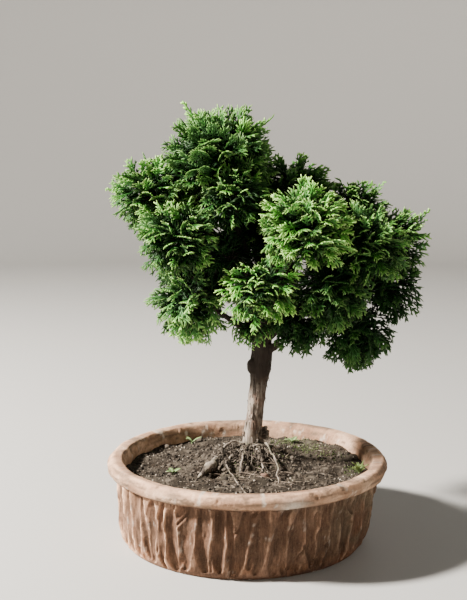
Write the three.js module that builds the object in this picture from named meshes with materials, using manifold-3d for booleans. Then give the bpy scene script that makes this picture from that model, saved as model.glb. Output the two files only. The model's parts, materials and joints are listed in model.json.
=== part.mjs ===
// A dwarf hinoki cypress grown as a bonsai in a hand-made terracotta bowl.
//
// Millimetres, +Z up. The origin is on the flat underside of the bowl, below the middle of its rim.
// The front of the bowl faces -Y. Angles round the bowl are in degrees, 0 at the front, + to the right.
//
// The foliage is a rounded clump for each twig that ends in the crown. Each clump is one body: a small
// core, and flat fan sprays whose roots are sunk in it. Their fingers are cut in to the rib. A seeded
// rule places the sprays, and turns or shortens one that would touch a neighbouring clump.

import * as THREE from 'three';
import { mergeVertices } from 'three/addons/utils/BufferGeometryUtils.js';
import Module from 'manifold-3d';

const wasm = await Module();
wasm.setup();

// ---- Driving dimensions ---------------------------------------------------------------------------

const GAP = 0.35; // left between two pieces that touch
const WOOD_GAP = 0.45; // the same round wood, whose few-sided twigs are flatter between their corners

const POT = {
  height: 60,
  lean: -3, // how far the base stands to the left of the rim, as the hand-made bowl does
  floor: 8.5,
  grooveDepth: 2.3,
  drainRadius: 4.5,
  drainOffset: 38,
  // Radius and height of the outside, from the base to the neck under the lip.
  wall: [[83.5, 0], [86, 3], [90.2, 14], [92.4, 33], [92.6, 48.6]],
  lip: [[97.4, 50.4], [99.8, 54.8], [96.6, 59.4], [89.6, 59.2]],
  inside: [[86.4, 50], [80, 10.5]],
};

// The bark-like ridges that show from the front, and the spacing of those that go on round the back.
const FRONT_RIDGES = [
  -73.8, -63.8, -56, -49.5, -44.8, -39.2, -34.2, -28.1, -20.4, -13.2, -8, -3.7, 1.4, 10.2, 18, 25.1, 30.9,
  36.7, 42.6, 50, 60, 70,
];
const BACK_RIDGES = 22;

const SOIL = {
  edge: 48, // height of the soil at the wall
  segments: 26,
  rings: [74, 58, 43, 31, 21, 12],
  mound: { x: 3, y: 8, height: 16.5, spreadX: 20, spreadY: 19 },
  flap: { x: 46, y: 48, height: 4.5, spreadX: 24, spreadY: 15 }, // the raised crust at the right-back
};

// Wood: a route and the radius at each of its points. The trunk starts buried, below the mound.
const TRUNK = {
  route: [
    [1, 10, 42], [1.4, 10, 58], [2.6, 10, 69], [4.6, 9, 80], [6.3, 8, 95], [7.9, 8, 108], [9.1, 8, 121],
    [10, 8, 131], [8, 8, 150], [2, 9, 180], [-6, 8, 210], [-13, 5, 238], [-17, 2, 258],
  ],
  radii: [5.5, 8.4, 6.9, 6, 5.8, 6, 7.7, 7.4, 6.2, 5, 4, 3, 2.2],
};
const LIMBS = [
  { route: [[9, 8, 138], [30, 3, 158], [58, 0, 172], [86, 0, 186]], radii: [5, 4, 3.2, 2.2] },
  { route: [[3, 9, 172], [24, 4, 196], [50, 4, 214], [68, 8, 226]], radii: [4, 3.4, 2.8, 2] },
  { route: [[-4, 8, 198], [-24, 4, 214], [-46, 0, 226], [-62, 0, 236]], radii: [3.6, 3, 2.6, 2] },
  { route: [[9, 8, 134], [2, -6, 146], [-14, -12, 158], [-27, -8, 166]], radii: [3.4, 2.4, 2, 1.8] },
  { route: [[7, 9, 150], [6, 30, 172], [8, 50, 196], [4, 58, 216]], radii: [4.2, 3.4, 2.8, 2.2] },
  { route: [[9, 8, 145], [16, -12, 165], [24, -32, 190], [30, -44, 208]], radii: [3.6, 3, 2.4, 2] },
  { route: [[8, 9, 142], [28, 22, 152], [48, 32, 160], [60, 40, 166]], radii: [3.4, 2.8, 2.3, 2] },
];
const DEAD_STUB = { route: [[9, 7, 133], [17, 5, 134], [22.5, 4, 138]], radii: [4.2, 2.8, 1.6] };
const TRUNK_KNOB = { at: [3.5, 4, 121], size: [4.5, 4, 6] };
const BURL = { at: [9.5, 12, 71], size: [6.5, 6, 5.5] };

// The roots that grip the mound, and the thin ones that stand free of it at the front.
const ROOTS = [
  { route: [[1, 9, 62], [-10, 8, 65.5], [-19, -3, 61], [-26, -16, 54.5], [-34, -28, 49.6]],
    radii: [2.6, 1.5, 1.8, 3.3, 1.5] },
  { route: [[8, 10, 66], [14, 6, 64.5], [18, -8, 59], [20, -24, 53.5], [20.5, -40, 48]],
    radii: [2.4, 1.7, 1.5, 1.5, 1.1] },
  { route: [[6, 8, 60], [8, -4, 60.5], [10.5, -16, 55], [11, -30, 46]], radii: [2.2, 1.6, 1.4, 1.2] },
  { route: [[-6, 4, 60], [-15, -12, 57], [-9, -36, 52.6], [0, -62, 49.4]], radii: [1.8, 1.3, 1.1, 0.9] },
  { route: [[0, 6, 60], [-2, -6, 60], [-4, -20, 54], [-5, -32, 46]], radii: [2, 1.5, 1.3, 1.1] },
  { route: [[6, 12, 62], [18, 22, 58], [30, 26, 49]], radii: [2.6, 2, 1.4] },
  { route: [[-2, 12, 62], [-12, 24, 58], [-22, 36, 48]], radii: [2.6, 2, 1.4] },
];

// The crown's clumps: the middle, the reach of the sprays round it, and how much they hang (0 to 1).
// tips are the ends of the single shoots that stand out past a clump.
const CLUMPS = [
  { name: 'foliage_dome', at: [-18, 0, 265], reach: 39, hang: 0, tips: [[-43, -4, 306.5], [19, 14, 296]] },
  { name: 'foliage_dome_front', at: [-8, -30, 231], reach: 29, hang: 0.2 },
  { name: 'foliage_dome_back', at: [-12, 44, 246], reach: 34, hang: 0 },
  { name: 'foliage_left', at: [-66, -3, 240], reach: 31, hang: 0.1, tips: [[-98, -4, 247]] },
  { name: 'foliage_left_middle', at: [-42, -30, 213], reach: 28, hang: 0.2 },
  { name: 'foliage_left_inner', at: [-48, 6, 196], reach: 27, hang: 0.3 },
  { name: 'foliage_left_low', at: [-31, -10, 167], reach: 29, hang: 0.6, tips: [[-64, -4, 160]] },
  { name: 'foliage_left_back', at: [-56, 42, 225], reach: 32, hang: 0.1 },
  { name: 'foliage_left_back_low', at: [-34, 46, 184], reach: 32, hang: 0.5 },
  { name: 'foliage_front_right', at: [37, -46, 219], reach: 33, hang: 0 },
  { name: 'foliage_front_low', at: [8, -44, 186], reach: 28, hang: 0.3 },
  { name: 'foliage_front_far', at: [76, -30, 207], reach: 29, hang: 0.1 },
  { name: 'foliage_top_back', at: [32, 24, 243], reach: 32, hang: 0 },
  { name: 'foliage_right_top', at: [69, 10, 231], reach: 29, hang: 0, tips: [[95, 6, 252]] },
  { name: 'foliage_right', at: [97, 2, 208], reach: 28, hang: 0.1, tips: [[126, -4, 231]] },
  { name: 'foliage_right_low', at: [95, 4, 174], reach: 29, hang: 0.5 },
  { name: 'foliage_right_inner', at: [54, -28, 180], reach: 28, hang: 0.5 },
  { name: 'foliage_right_hanging', at: [74, 2, 148], reach: 27, hang: 0.9 },
  { name: 'foliage_centre_hanging', at: [35, -12, 156], reach: 24, hang: 0.9 },
  { name: 'foliage_trunk_hanging', at: [0, -16, 152], reach: 18, hang: 1 },
  { name: 'foliage_back', at: [8, 62, 217], reach: 34, hang: 0.1 },
  { name: 'foliage_back_low', at: [12, 58, 176], reach: 33, hang: 0.6 },
  { name: 'foliage_right_back', at: [62, 48, 211], reach: 32, hang: 0.1 },
  { name: 'foliage_right_back_low', at: [62, 46, 170], reach: 31, hang: 0.6 },
  { name: 'foliage_middle', at: [-12, -12, 199], reach: 26, hang: 0.2 },
  { name: 'foliage_right_middle', at: [62, 2, 196], reach: 27, hang: 0.3 },
];
const CROWN_MIDDLE = [10, 8, 200];
const CORE = { ball: 0.54, point: 0.76, uneven: 0.24 }; // a clump's core, as shares of its reach
const SPRAY = {
  thickness: 0.9,
  sunk: 5,
  tilt: 38, // degrees from straight out to the lie of the sprays in the middle of a clump
  stand: 1.06, // how far the sprays stand out, as a share of a clump's reach
  longest: 1.35, // of a lying spray, as a share of how far an upright one stands out
  width: 0.58,
  tipWidth: 0.25,
  fingers: 2, // on each side of the tip
  notch: 0.22, // how near a notch comes to the rib, as a share of the finger's reach
  perArea: 1 / 180,
};
const RETRIES = [1, 0.88, 0.76, 0.64];

const SEEDLINGS = [
  { name: 'seedling_left', at: [-52, -13], leaves: 4, length: 6, width: 3.4, rise: 0.5, colour: 0x7fa04a },
  { name: 'seedling_back', at: [-43, 66], leaves: 3, length: 8, width: 3.6, rise: 0.9, colour: 0x8ea35c },
  { name: 'seedling_right', at: [34, 50], leaves: 4, length: 7, width: 3.8, rise: 0.5, colour: 0x9bb07a },
  { name: 'grass_tuft', at: [78, -12], leaves: 5, length: 13, width: 1.7, rise: 2.2, colour: 0x6f9a35 },
];

// ---- Small helpers --------------------------------------------------------------------------------

const radians = THREE.MathUtils.degToRad;
const vector = (list) => new THREE.Vector3(...list);
const bell = (distance, spread) => Math.exp(-(distance * distance) / (2 * spread * spread));

// The same share from 0 to 1 for the same number, every time.
function share(number) {
  const wave = Math.sin(number * 12.9898 + 78.233) * 43758.5453;
  return wave - Math.floor(wave);
}

// A solid from a closed geometry. Triangles that a lathe folds flat on its axis are dropped.
function solidOf(geometry) {
  const bare = geometry.clone();
  bare.deleteAttribute('normal');
  bare.deleteAttribute('uv');
  const merged = mergeVertices(bare, 1e-4);
  const corners = [];
  const index = merged.index.array;
  for (let i = 0; i < index.length; i += 3) {
    const [a, b, c] = [index[i], index[i + 1], index[i + 2]];
    if (a !== b && b !== c && c !== a) corners.push(a, b, c);
  }
  const solid = (order) => new wasm.Manifold(new wasm.Mesh({
    numProp: 3,
    vertProperties: new Float32Array(merged.attributes.position.array),
    triVerts: new Uint32Array(order),
  }));
  const made = solid(corners);
  return made.volume() > 0 ? made : solid(corners.reverse());
}

function geometryOf(solid) {
  const mesh = solid.getMesh();
  const geometry = new THREE.BufferGeometry();
  geometry.setAttribute('position', new THREE.BufferAttribute(Float32Array.from(mesh.vertProperties), 3));
  geometry.setIndex(Array.from(mesh.triVerts));
  geometry.computeVertexNormals();
  return geometry;
}

// The largest body of a solid: a loose scrap, or the skin of a hollow that fusing sealed, is left out.
function largest(solid) {
  return solid.decompose().reduce((best, body) => (body.volume() > best.volume() ? body : best));
}

const joined = (solids) => solids.reduce((whole, solid) => whole.add(solid));

function movePoints(geometry, move) {
  const position = geometry.attributes.position;
  const point = new THREE.Vector3();
  for (let i = 0; i < position.count; i += 1) {
    point.fromBufferAttribute(position, i);
    move(point, i);
    position.setXYZ(i, point.x, point.y, point.z);
  }
  return geometry;
}

// A tapered limb along a curve: a cylinder whose rings are carried along the route.
function limb({ route, radii }, sides, steps, extra = 0) {
  const curve = new THREE.CatmullRomCurve3(route.map(vector));
  const frames = curve.computeFrenetFrames(steps, false);
  const geometry = new THREE.CylinderGeometry(1, 1, 1, sides, steps);
  return solidOf(movePoints(geometry, (point) => {
    const along = THREE.MathUtils.clamp(point.y + 0.5, 0, 1);
    const step = Math.round(along * steps);
    const span = along * (radii.length - 1);
    const from = Math.min(Math.floor(span), radii.length - 2);
    const radius = THREE.MathUtils.lerp(radii[from], radii[from + 1], span - from) + extra;
    const place = curve.getPoint(along)
      .addScaledVector(frames.normals[step], point.x * radius)
      .addScaledVector(frames.binormals[step], point.z * radius);
    if (step === steps) place.addScaledVector(frames.tangents[step], extra);
    point.copy(place);
  }));
}

function lump({ at, size }, extra = 0) {
  const geometry = new THREE.IcosahedronGeometry(1, 1);
  geometry.scale(size[0] + extra, size[1] + extra, size[2] + extra);
  geometry.translate(...at);
  return solidOf(geometry);
}

// ---- Terracotta bowl ------------------------------------------------------------------------------

// The columns round the bowl: a crest for each ridge, and a groove half-way to the next. Each has its own
// lean and height, as in hand-cut clay.
const CRESTS = [
  ...FRONT_RIDGES,
  ...Array.from({ length: BACK_RIDGES }, (_, i) => 79 + (i * 200) / BACK_RIDGES + 3 * (share(i + 40) - 0.5)),
];
const COLUMNS = CRESTS.flatMap((angle, i) => {
  const next = CRESTS[i + 1] ?? CRESTS[0] + 360;
  return [
    { angle, lean: 2.6 * (share(i + 7) - 0.5), depth: 0.35 * share(i + 19) },
    { angle: (angle + next) / 2, lean: 2.6 * (share(i + 7.5) - 0.5), depth: 0.75 + 0.25 * share(i + 31) },
  ];
});

// How much of the grooves' depth is left at a height: they start above the base and end under the lip.
const grooveFade = (z) => THREE.MathUtils.smoothstep(z, 2.5, 9) * (1 - THREE.MathUtils.smoothstep(z, 43, 50));

const leanAt = (z) => POT.lean * (1 - z / POT.height);

const lipWave = (angle) => 0.7 * Math.sin(radians(2 * angle + 46)) + 0.3 * Math.sin(radians(5 * angle + 120));

function makePot() {
  const wallRows = POT.wall.length;
  const lipRows = wallRows + POT.lip.length;
  const rows = [[0, 0], ...POT.wall, ...POT.lip, ...POT.inside, [0, POT.floor]];
  const points = rows.map(([radius, z]) => new THREE.Vector2(radius, z));
  const geometry = new THREE.LatheGeometry(points, COLUMNS.length);
  geometry.rotateX(Math.PI / 2);
  movePoints(geometry, (point, i) => {
    const row = i % rows.length;
    const column = COLUMNS[Math.floor(i / rows.length) % COLUMNS.length];
    const fade = row <= wallRows ? grooveFade(point.z) : 0;
    const angle = column.angle + (fade * column.lean * (point.z - 28)) / 20;
    let radius = rows[row][0] - POT.grooveDepth * column.depth * fade;
    if (row > wallRows && row <= lipRows) {
      radius += 0.5 * lipWave(angle) - 0.5;
      point.z += 0.2 * lipWave(angle) - 0.22;
    }
    if (rows[row][0] > 0) {
      point.x = radius * Math.sin(radians(angle));
      point.y = -radius * Math.cos(radians(angle));
    }
    point.x += leanAt(point.z);
  });
  let pot = solidOf(geometry);
  for (const side of [-1, 1]) {
    const drain = new THREE.CylinderGeometry(POT.drainRadius, POT.drainRadius, 3 * POT.floor, 8);
    drain.rotateX(Math.PI / 2);
    drain.translate(side * POT.drainOffset, 0, POT.floor / 2);
    pot = pot.subtract(solidOf(drain));
  }
  return pot;
}

// ---- Soil -----------------------------------------------------------------------------------------

function soilHeight(x, y) {
  const { mound, flap } = SOIL;
  const fromMound = Math.hypot((x - mound.x) / mound.spreadX, (y - mound.y) / mound.spreadY);
  const fromFlap = Math.hypot((x - flap.x) / flap.spreadX, (y - flap.y) / flap.spreadY);
  const crack = bell(y - 20 - 0.08 * (x - 50), 3.5) * bell(x - 52, 22);
  const rough = 0.9 * Math.sin(x / 8.3 + y / 6.1) + 0.7 * Math.sin(x / 4.7 - y / 5.9 + 1);
  return SOIL.edge + mound.height * bell(fromMound, 1) + flap.height * bell(fromFlap, 1) - 3 * crack + rough;
}

function makeSoil() {
  const [[highRadius, high], [lowRadius, low]] = POT.inside;
  const radiusAt = (z) => lowRadius + ((highRadius - lowRadius) * (z - low)) / (high - low) - GAP;
  const rows = [
    [0, POT.floor + GAP], [radiusAt(low) - GAP, low + GAP], [radiusAt(SOIL.edge - 2), SOIL.edge - 2],
    ...SOIL.rings.map((radius) => [radius, SOIL.edge]), [0, SOIL.edge],
  ];
  const points = rows.map(([radius, z]) => new THREE.Vector2(radius, z));
  const geometry = new THREE.LatheGeometry(points, SOIL.segments);
  geometry.rotateX(Math.PI / 2);
  return solidOf(movePoints(geometry, (point, i) => {
    if (i % rows.length > 2) point.z = soilHeight(point.x, point.y);
    point.x += leanAt(point.z);
  }));
}

// ---- Wood -----------------------------------------------------------------------------------------

const branchSamples = [TRUNK, ...LIMBS].flatMap((part, n) => {
  const curve = new THREE.CatmullRomCurve3(part.route.map(vector));
  const first = n === 0 ? 0.62 : 0.15; // twigs leave the trunk only inside the crown
  return Array.from({ length: 25 }, (_, i) => curve.getPoint(first + ((0.98 - first) * i) / 24));
});

// The twig that carries a clump: from the nearest wood that lies lower, in a low arch, into the core.
function twigFor(clump) {
  const middle = vector(clump.at);
  const cost = (sample) => sample.distanceTo(middle) + 0.8 * Math.max(0, sample.z - middle.z + 6);
  const start = branchSamples.reduce((best, sample) => (cost(sample) < cost(best) ? sample : best));
  const back = start.clone().sub(middle);
  const end = middle.clone().addScaledVector(back.clone().normalize(), 0.15 * clump.reach);
  const arch = start.clone().lerp(end, 0.5);
  arch.z += 0.08 * back.length() * (1 - 2 * clump.hang);
  return { route: [start.toArray(), arch.toArray(), end.toArray()], radii: [2, 1.7, 1.3] };
}

// A clump on the end of a limb needs no twig of its own.
const needsTwig = ({ at, reach }) => LIMBS.concat(TRUNK).every(({ route }) => (
  vector(route[route.length - 1]).distanceTo(vector(at)) > 0.5 * reach));

function makeWood(extra) {
  const parts = [
    limb(TRUNK, 8, 14, extra),
    ...LIMBS.map((part) => limb(part, 5, 4, extra)),
    ...CLUMPS.filter(needsTwig).map((clump) => limb(twigFor(clump), 4, 2, extra)),
    ...ROOTS.map((part) => limb(part, 4, part.route.length + 1, extra)),
    limb(DEAD_STUB, 5, 2, extra),
    lump(TRUNK_KNOB, extra),
    lump(BURL, extra),
  ];
  return joined(parts);
}

// ---- Foliage --------------------------------------------------------------------------------------

// A fan spray that lies in the XY plane, grows along +Y from the origin, and arches down and inwards.
// Its outline goes in to the rib between the fingers.
function sprayGeometry(length, width, number) {
  const jitter = (n, size) => 1 + size * (share(number * 7.3 + n) - 0.5);
  const rib = 0.05 * length;
  const right = [];
  for (let k = 0; k < SPRAY.fingers; k += 1) {
    const level = (k + 1) / (SPRAY.fingers + 1);
    const out = width * (1 - 0.35 * Math.abs(level - 0.45)) * (1 - SPRAY.tipWidth * level);
    right.push([out, length * (0.34 + 0.56 * level)]);
    right.push([rib + SPRAY.notch * (out - rib), length * (0.3 + 0.62 * level)]);
  }
  const left = right.map(([x, y]) => [-x, y]).reverse();
  const outline = [[0, 0], ...right, [0, length], ...left].map(([x, y], n) => {
    const isTip = Math.abs(x) > 0.5 * width;
    return new THREE.Vector2(x * (isTip ? jitter(n, 0.35) : 1), y * (isTip ? jitter(n + 50, 0.16) : 1));
  });
  const shape = new THREE.Shape(outline);
  const geometry = new THREE.ExtrudeGeometry(shape, { depth: SPRAY.thickness, bevelEnabled: false });
  geometry.translate(0, 0, -SPRAY.thickness / 2);
  return movePoints(geometry, (point) => {
    point.z -= 0.16 * length * (point.y / length) ** 2 + 0.12 * length * (point.x / width) ** 2;
  });
}

// How far from a clump's middle its sprays are rooted, sunk in the core.
const rootOf = (clump) => CORE.ball * clump.reach - SPRAY.sunk;

// Stands a spray on a clump's core: it leaves the core where facing meets it, grows along the direction
// given, and shows its upper face outwards, rolled a bit.
function placedSpray(clump, { facing, along }, roll, length, width, number) {
  const geometry = sprayGeometry(length, width, number);
  const face = facing.clone().projectOnPlane(along);
  if (face.length() < 0.2) face.set(0.3, -1, 0.2).projectOnPlane(along);
  face.normalize().applyAxisAngle(along, roll);
  const across = new THREE.Vector3().crossVectors(along, face);
  const start = vector(clump.at).addScaledVector(facing, rootOf(clump));
  geometry.applyMatrix4(new THREE.Matrix4().makeBasis(across, along, face).setPosition(start));
  return solidOf(geometry);
}

// The sprays of a clump stand like a rosette round its pole, which points out of the crown, upwards on
// top and downwards where the clump hangs. Each has the place where it leaves the core, even all round but
// for the back, and the direction that it grows in, tilted away from the pole.
function sprayPlaces(clump, seed) {
  const pole = vector(clump.at).sub(vector(CROWN_MIDDLE)).normalize();
  pole.z += 0.5 - 1.3 * clump.hang;
  pole.normalize();
  const wanted = Math.round(clump.reach * clump.reach * SPRAY.perArea);
  const golden = Math.PI * (3 - Math.sqrt(5));
  const upright = new THREE.Quaternion().setFromUnitVectors(new THREE.Vector3(0, 0, 1), pole);
  return Array.from({ length: wanted }, (_, i) => {
    const z = 1 - (1.5 * (i + 0.3)) / wanted;
    const level = Math.sqrt(1 - z * z);
    const turn = i * golden + seed;
    const facing = new THREE.Vector3(level * Math.cos(turn), level * Math.sin(turn), z);
    const axis = new THREE.Vector3(0, 0, 1).cross(facing).normalize();
    const isFirst = i === 0; // the one that lies across the pole
    const tilt = radians(SPRAY.tilt) * (isFirst ? -0.8 : 0.15 + 0.85 * Math.max(0, z));
    const along = facing.clone().applyAxisAngle(axis, tilt);
    return { facing: facing.applyQuaternion(upright), along: along.applyQuaternion(upright) };
  });
}

// A clump's core: the shoots too short to be told apart, as a ball with a point raised on each side.
function coreOf(clump, extra = 0) {
  const number = CLUMPS.indexOf(clump) * 20;
  const ball = new THREE.IcosahedronGeometry(CORE.ball * clump.reach + extra, 0);
  ball.rotateX(clump.at[0]);
  const position = ball.attributes.position;
  const [a, b, c, middle] = Array.from({ length: 4 }, () => new THREE.Vector3());
  const points = [];
  for (let i = 0; i < position.count; i += 3) {
    a.fromBufferAttribute(position, i);
    b.fromBufferAttribute(position, i + 1);
    c.fromBufferAttribute(position, i + 2);
    middle.copy(a).add(b).add(c);
    const out = (CORE.point + CORE.uneven * (share(number + i / 3) - 0.5)) * clump.reach + extra;
    middle.setLength(out);
    points.push(...[a, b, middle, b, c, middle, c, a, middle].map((point) => point.clone()));
  }
  const geometry = new THREE.BufferGeometry().setFromPoints(points);
  geometry.translate(...clump.at);
  return solidOf(geometry);
}

// Cores first, each cut back from those before it, then the sprays of each clump in turn.
function makeFoliage(woodRoom) {
  const cores = [];
  CLUMPS.forEach((clump, i) => {
    const before = CLUMPS.slice(0, i).map((other) => coreOf(other, GAP + 0.1));
    cores.push(before.reduce((core, other) => core.subtract(other), coreOf(clump)));
  });
  const bodies = [...cores];
  CLUMPS.forEach((clump, i) => {
    const others = bodies.filter((_, j) => j !== i);
    const stand = SPRAY.stand * clump.reach - rootOf(clump);
    const lengthOf = ({ facing, along }) => stand * Math.min(1 / facing.dot(along), SPRAY.longest);
    const grown = []; // what stands out of this core so far
    const isFree = (spray) => others.every((other) => spray.minGap(other, 1) >= GAP);
    const growSpray = (place, number, full, narrow) => {
      for (const [attempt, part] of RETRIES.entries()) {
        const roll = (0.5 + 0.3 * attempt) * (share(number + 31 * attempt) - 0.5);
        const length = full * (narrow === 1 ? part * (0.9 + 0.2 * share(number + 3)) : 1);
        const width = SPRAY.width * length * narrow;
        const spray = placedSpray(clump, place, roll, length, width, number);
        const outside = spray.subtract(cores[i]);
        if (grown.every((other) => outside.minGap(other, 1) >= GAP) && isFree(spray)) {
          grown.push(outside);
          return [spray];
        }
      }
      return [];
    };
    const shoots = (clump.tips ?? []).flatMap((tip, k) => {
      const line = vector(tip).sub(vector(clump.at));
      const along = line.clone().normalize();
      return growSpray({ facing: along, along }, i * 37 + k + 20, line.length() - rootOf(clump), 0.38);
    });
    const sprays = sprayPlaces(clump, i * 2.4).flatMap((place, k) => (
      growSpray(place, i * 37 + k, lengthOf(place), 1)));
    bodies[i] = largest(joined([cores[i], ...sprays, ...shoots]).subtract(woodRoom));
  });
  return bodies;
}

// ---- Seedlings and grass in the soil --------------------------------------------------------------

const STEM = { radius: 0.9, buried: 2.5, above: 2.2 };

function seedlingStem(plant, extra = 0) {
  const [x, y] = plant.at;
  const height = STEM.buried + STEM.above + 2 * extra;
  const stem = new THREE.CylinderGeometry(STEM.radius + extra, STEM.radius + extra, height, 5);
  stem.rotateX(Math.PI / 2);
  stem.translate(x, y, soilHeight(x, y) + (STEM.above - STEM.buried) / 2);
  return solidOf(stem);
}

function makeSeedling(plant, seed) {
  const [x, y] = plant.at;
  const { leaves, length, width } = plant;
  const parts = [seedlingStem(plant)];
  for (let k = 0; k < leaves; k += 1) {
    const size = length * (0.75 + 0.5 * share(seed + k));
    const outline = [[0, 0], [width / 2, 0.55 * size], [0, size], [-width / 2, 0.55 * size]];
    const shape = new THREE.Shape(outline.map(([u, v]) => new THREE.Vector2(u, v)));
    const leaf = new THREE.ExtrudeGeometry(shape, { depth: 0.7, bevelEnabled: false });
    leaf.rotateX(Math.atan(plant.rise * (0.8 + 0.4 * share(seed + k + 9))));
    leaf.rotateZ((k * 2 * Math.PI) / leaves + share(seed + k + 5));
    leaf.translate(x, y, soilHeight(x, y) + STEM.above - 0.9);
    parts.push(solidOf(leaf));
  }
  return largest(joined(parts));
}

// ---- The whole ------------------------------------------------------------------------------------

const COLOURS = { pot: 0xb98a6c, soil: 0x5d5145, wood: 0x8a7763, foliage: 0x3f6b2e };

const wood = largest(makeWood(0));
const woodRoom = makeWood(WOOD_GAP);
const stemRooms = joined(SEEDLINGS.map((plant) => seedlingStem(plant, GAP)));
const soil = largest(makeSoil().subtract(woodRoom).subtract(stemRooms));
const foliage = makeFoliage(woodRoom);

const bonsai = new THREE.Group();

function addPiece(name, solid, colour, roughness) {
  const material = new THREE.MeshStandardMaterial({ color: colour, roughness, metalness: 0 });
  const mesh = new THREE.Mesh(geometryOf(solid), material);
  mesh.name = name;
  bonsai.add(mesh);
}

addPiece('pot', makePot(), COLOURS.pot, 0.85);
addPiece('soil', soil, COLOURS.soil, 0.95);
addPiece('wood', wood, COLOURS.wood, 0.85);
CLUMPS.forEach((clump, i) => {
  addPiece(clump.name, foliage[i], new THREE.Color(COLOURS.foliage).offsetHSL(0, 0, 0.05 * (share(i) - 0.5)), 0.6);
});
SEEDLINGS.forEach((plant, i) => addPiece(plant.name, makeSeedling(plant, i * 13 + 3), plant.colour, 0.6));

export default bonsai;
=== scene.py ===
"""A dwarf hinoki cypress grown as a bonsai in a hand-made terracotta bowl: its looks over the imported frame.

Lengths are in millimetres up to the making of each mesh, +Z is up and the front faces -Y. Angles on the bowl
are in degrees from its front. Routes and rows are those of the solids, and the clumps are close to theirs.
Every random draw comes from a number, so each run gives the same scene.
"""

import json
from math import asin, atan2, cos, floor, pi, radians, sin, sqrt

import bpy
import numpy as np
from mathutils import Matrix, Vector
from numpy.linalg import norm
from numpy.random import default_rng

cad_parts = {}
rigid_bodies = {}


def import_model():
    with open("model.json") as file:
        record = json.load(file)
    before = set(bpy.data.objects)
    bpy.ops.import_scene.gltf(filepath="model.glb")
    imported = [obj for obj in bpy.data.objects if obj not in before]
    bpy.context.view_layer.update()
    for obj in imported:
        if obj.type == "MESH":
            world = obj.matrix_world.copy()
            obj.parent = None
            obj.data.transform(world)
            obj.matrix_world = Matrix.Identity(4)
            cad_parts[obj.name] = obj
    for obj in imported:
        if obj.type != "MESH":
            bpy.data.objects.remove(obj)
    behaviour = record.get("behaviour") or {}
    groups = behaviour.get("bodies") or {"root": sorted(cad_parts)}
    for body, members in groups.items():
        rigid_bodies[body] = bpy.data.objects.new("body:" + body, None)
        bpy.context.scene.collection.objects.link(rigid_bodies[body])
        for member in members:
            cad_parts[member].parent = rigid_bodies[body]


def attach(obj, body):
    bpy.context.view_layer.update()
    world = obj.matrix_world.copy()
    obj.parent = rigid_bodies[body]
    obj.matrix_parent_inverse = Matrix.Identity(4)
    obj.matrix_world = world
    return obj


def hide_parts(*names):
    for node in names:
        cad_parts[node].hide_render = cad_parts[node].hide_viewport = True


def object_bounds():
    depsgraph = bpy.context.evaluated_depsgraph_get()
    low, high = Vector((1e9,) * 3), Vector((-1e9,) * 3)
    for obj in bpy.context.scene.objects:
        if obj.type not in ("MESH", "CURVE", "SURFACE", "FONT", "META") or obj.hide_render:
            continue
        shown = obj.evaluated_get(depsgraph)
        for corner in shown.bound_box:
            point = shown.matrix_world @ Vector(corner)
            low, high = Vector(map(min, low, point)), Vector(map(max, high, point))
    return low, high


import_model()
cad_bounds = [list(corner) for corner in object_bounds()]

MM = 0.001
UP = np.array([0, 0, 1.0])
GOLDEN = pi * (3 - sqrt(5))

# ---- The same values as the solids ----

POT_HEIGHT = 60.0
POT_LEAN = -3.0
POT_FLOOR = 8.5
GROOVE_DEPTH = 2.3
DRAIN_RADIUS = 4.5
DRAIN_OFFSET = 38.0
WALL = [(83.5, 0.0), (86.0, 3.0), (90.2, 14.0), (92.4, 33.0), (92.6, 48.6)]
INSIDE = [(86.4, 50.0), (80.0, 10.5)]
FRONT_RIDGES = [
    -73.8, -63.8, -56, -49.5, -44.8, -39.2, -34.2, -28.1, -20.4, -13.2, -8, -3.7, 1.4, 10.2, 18, 25.1, 30.9,
    36.7, 42.6, 50, 60, 70,
]
BACK_RIDGES = 22

SOIL_EDGE = 48.0
SOIL_RADIUS = 85.5

TRUNK = (
    [(1, 10, 42), (1.4, 10, 58), (2.6, 10, 69), (4.6, 9, 80), (6.3, 8, 95), (7.9, 8, 108), (9.1, 8, 121),
     (10, 8, 131), (8, 8, 150), (2, 9, 180), (-6, 8, 210), (-13, 5, 238), (-17, 2, 258)],
    [5.5, 8.4, 6.9, 6, 5.8, 6, 7.7, 7.4, 6.2, 5, 4, 3, 2.2],
)
LIMBS = [
    ([(9, 8, 138), (30, 3, 158), (58, 0, 172), (86, 0, 186)], [5, 4, 3.2, 2.2]),
    ([(3, 9, 172), (24, 4, 196), (50, 4, 214), (68, 8, 226)], [4, 3.4, 2.8, 2]),
    ([(-4, 8, 198), (-24, 4, 214), (-46, 0, 226), (-62, 0, 236)], [3.6, 3, 2.6, 2]),
    ([(9, 8, 134), (2, -6, 146), (-14, -12, 158), (-27, -8, 166)], [3.4, 2.4, 2, 1.8]),
    ([(7, 9, 150), (6, 30, 172), (8, 50, 196), (4, 58, 216)], [4.2, 3.4, 2.8, 2.2]),
    ([(9, 8, 145), (16, -12, 165), (24, -32, 190), (30, -44, 208)], [3.6, 3, 2.4, 2]),
    ([(8, 9, 142), (28, 22, 152), (48, 32, 160), (60, 40, 166)], [3.4, 2.8, 2.3, 2]),
]
DEAD_STUB = ([(9, 7, 133), (17, 5, 134), (22.5, 4, 138)], [4.2, 2.8, 1.6])
BURL_MIDDLE = (9.5, 12, 71)
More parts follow.
